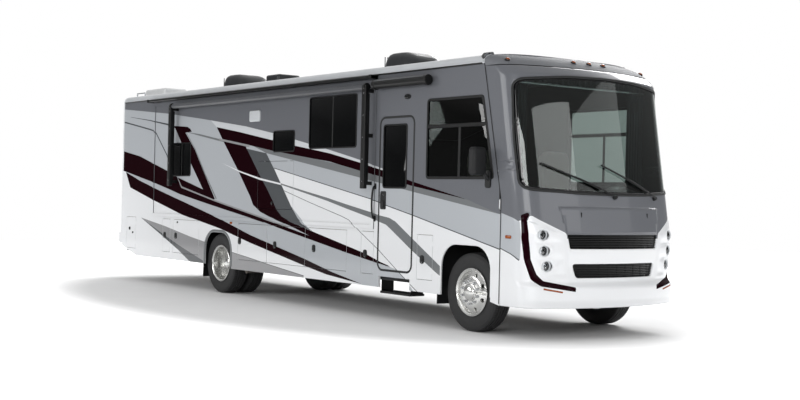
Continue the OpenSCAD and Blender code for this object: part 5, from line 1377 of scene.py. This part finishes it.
for side, label in ((-1, "passenger"), (1, "driver")):
    y = side * 0.62
    for part, low, high in (("seat", (4.06, y - 0.27, 1.53), (4.58, y + 0.27, 1.68)),
                            ("back", (3.92, y - 0.26, 1.62), (4.06, y + 0.26, 2.32))):
        cushion = piece(f"{label}_{part}_pad", "coach", [LEATHER], [pad(low, high)],
                        replaces=["cab_seats"] if part == "seat" else (), sharp=60)
        stuff(cushion, low, high)
    post = lathe([(0.15, 0.0), (0.15, 0.02), (0.06, 0.05), (0.06, 0.27), (0.14, 0.3), (0.14, 0.325), (0, 0.325)],
                 (FRONT_X - 0.18, y, FLOOR_Z + 0.005), (0, 0, 1), 32)
    piece(f"{label}_seat_post", "coach", [BLACK_METAL], [post])

# Curtains: pleated sheets beside the windscreen, and a valance above it, in grey cloth darkened with painted shade


def pleated(y0, y1, z0, z1, x, pleats, deep):
    """A hung cloth: its depth swings with the width, deeper towards the hem."""
    v = np.linspace(0, 1, 24)[:, None]
    u = np.linspace(0, 1, pleats * 12)[None]
    swing = np.cos(u * pleats * 2 * math.pi + 0.6 * np.sin(v * 3)) * deep * (0.55 + 0.45 * v)
    return np.stack(np.broadcast_arrays(x + swing, y0 + (y1 - y0) * u, z1 + (z0 - z1) * v), -1)


for side, label in ((-1, "passenger"), (1, "driver")):
    a, b = sorted((side * 0.875, side * 1.175))
    points = pleated(a, b, 1.86, 3.06, 5.052, 6, 0.017)
    cloth = piece(f"{label}_curtain", "coach", [CLOTH], [grid(points)],
                  replaces=["curtains"] if side < 0 else (), sharp=80, tidy=False)
rail_line = np.column_stack([np.full(8, 5.05), np.linspace(-1.19, 1.19, 8), np.full(8, 3.075)])
piece("curtain_rail", "coach", [ANODISED], [tube(rail_line, ring(0.012, 8))])
points = pleated(-1.19, 1.19, 3.09, 3.3, 5.052, 24, 0.01)
valance = piece("curtain_valance", "coach", [CLOTH], [grid(points)], sharp=80, tidy=False)

# ---------- Underneath and behind ----------

clad(["chassis_frame", "tie_rod", "drive_shaft", "hitch_receiver"], CHASSIS)
clad(["axles", "engine_block", "knuckle_left", "knuckle_right"], CASTING)
clad(["wheel_wells", "under_tanks"], BLACK_ABS)
clad(["storage_bays"], BAY)
clad(["coach_floor"], BOARD)
clad(["exhaust"], PIPE)
clad(["ladder"], ANODISED)
clad(["entry_step"], BLACK_METAL)
clad(["front_cap", "front_lid"], CHARCOAL)
clad(["windshield"], SCREEN_GLASS)
clad(["grille", "mirrors", "wipers", "steering_wheel"], BLACK_ABS)
clad(["lamps"], CLEAR_LENS)
clad(["air_conditioners"], SHROUD)
clad(["roof_vents"], VENT)
clad(["awnings", "patio_awning"], BLACK_METAL)
clad(["cab_seats"], LEATHER)
clad(["curtains"], CLOTH)
for side in ("left", "right"):
    clad([f"front_{side}_wheel", f"rear_{side}_wheels"], POLISHED)
    clad([f"front_{side}_tyre", f"rear_{side}_tyres"], TYRE)
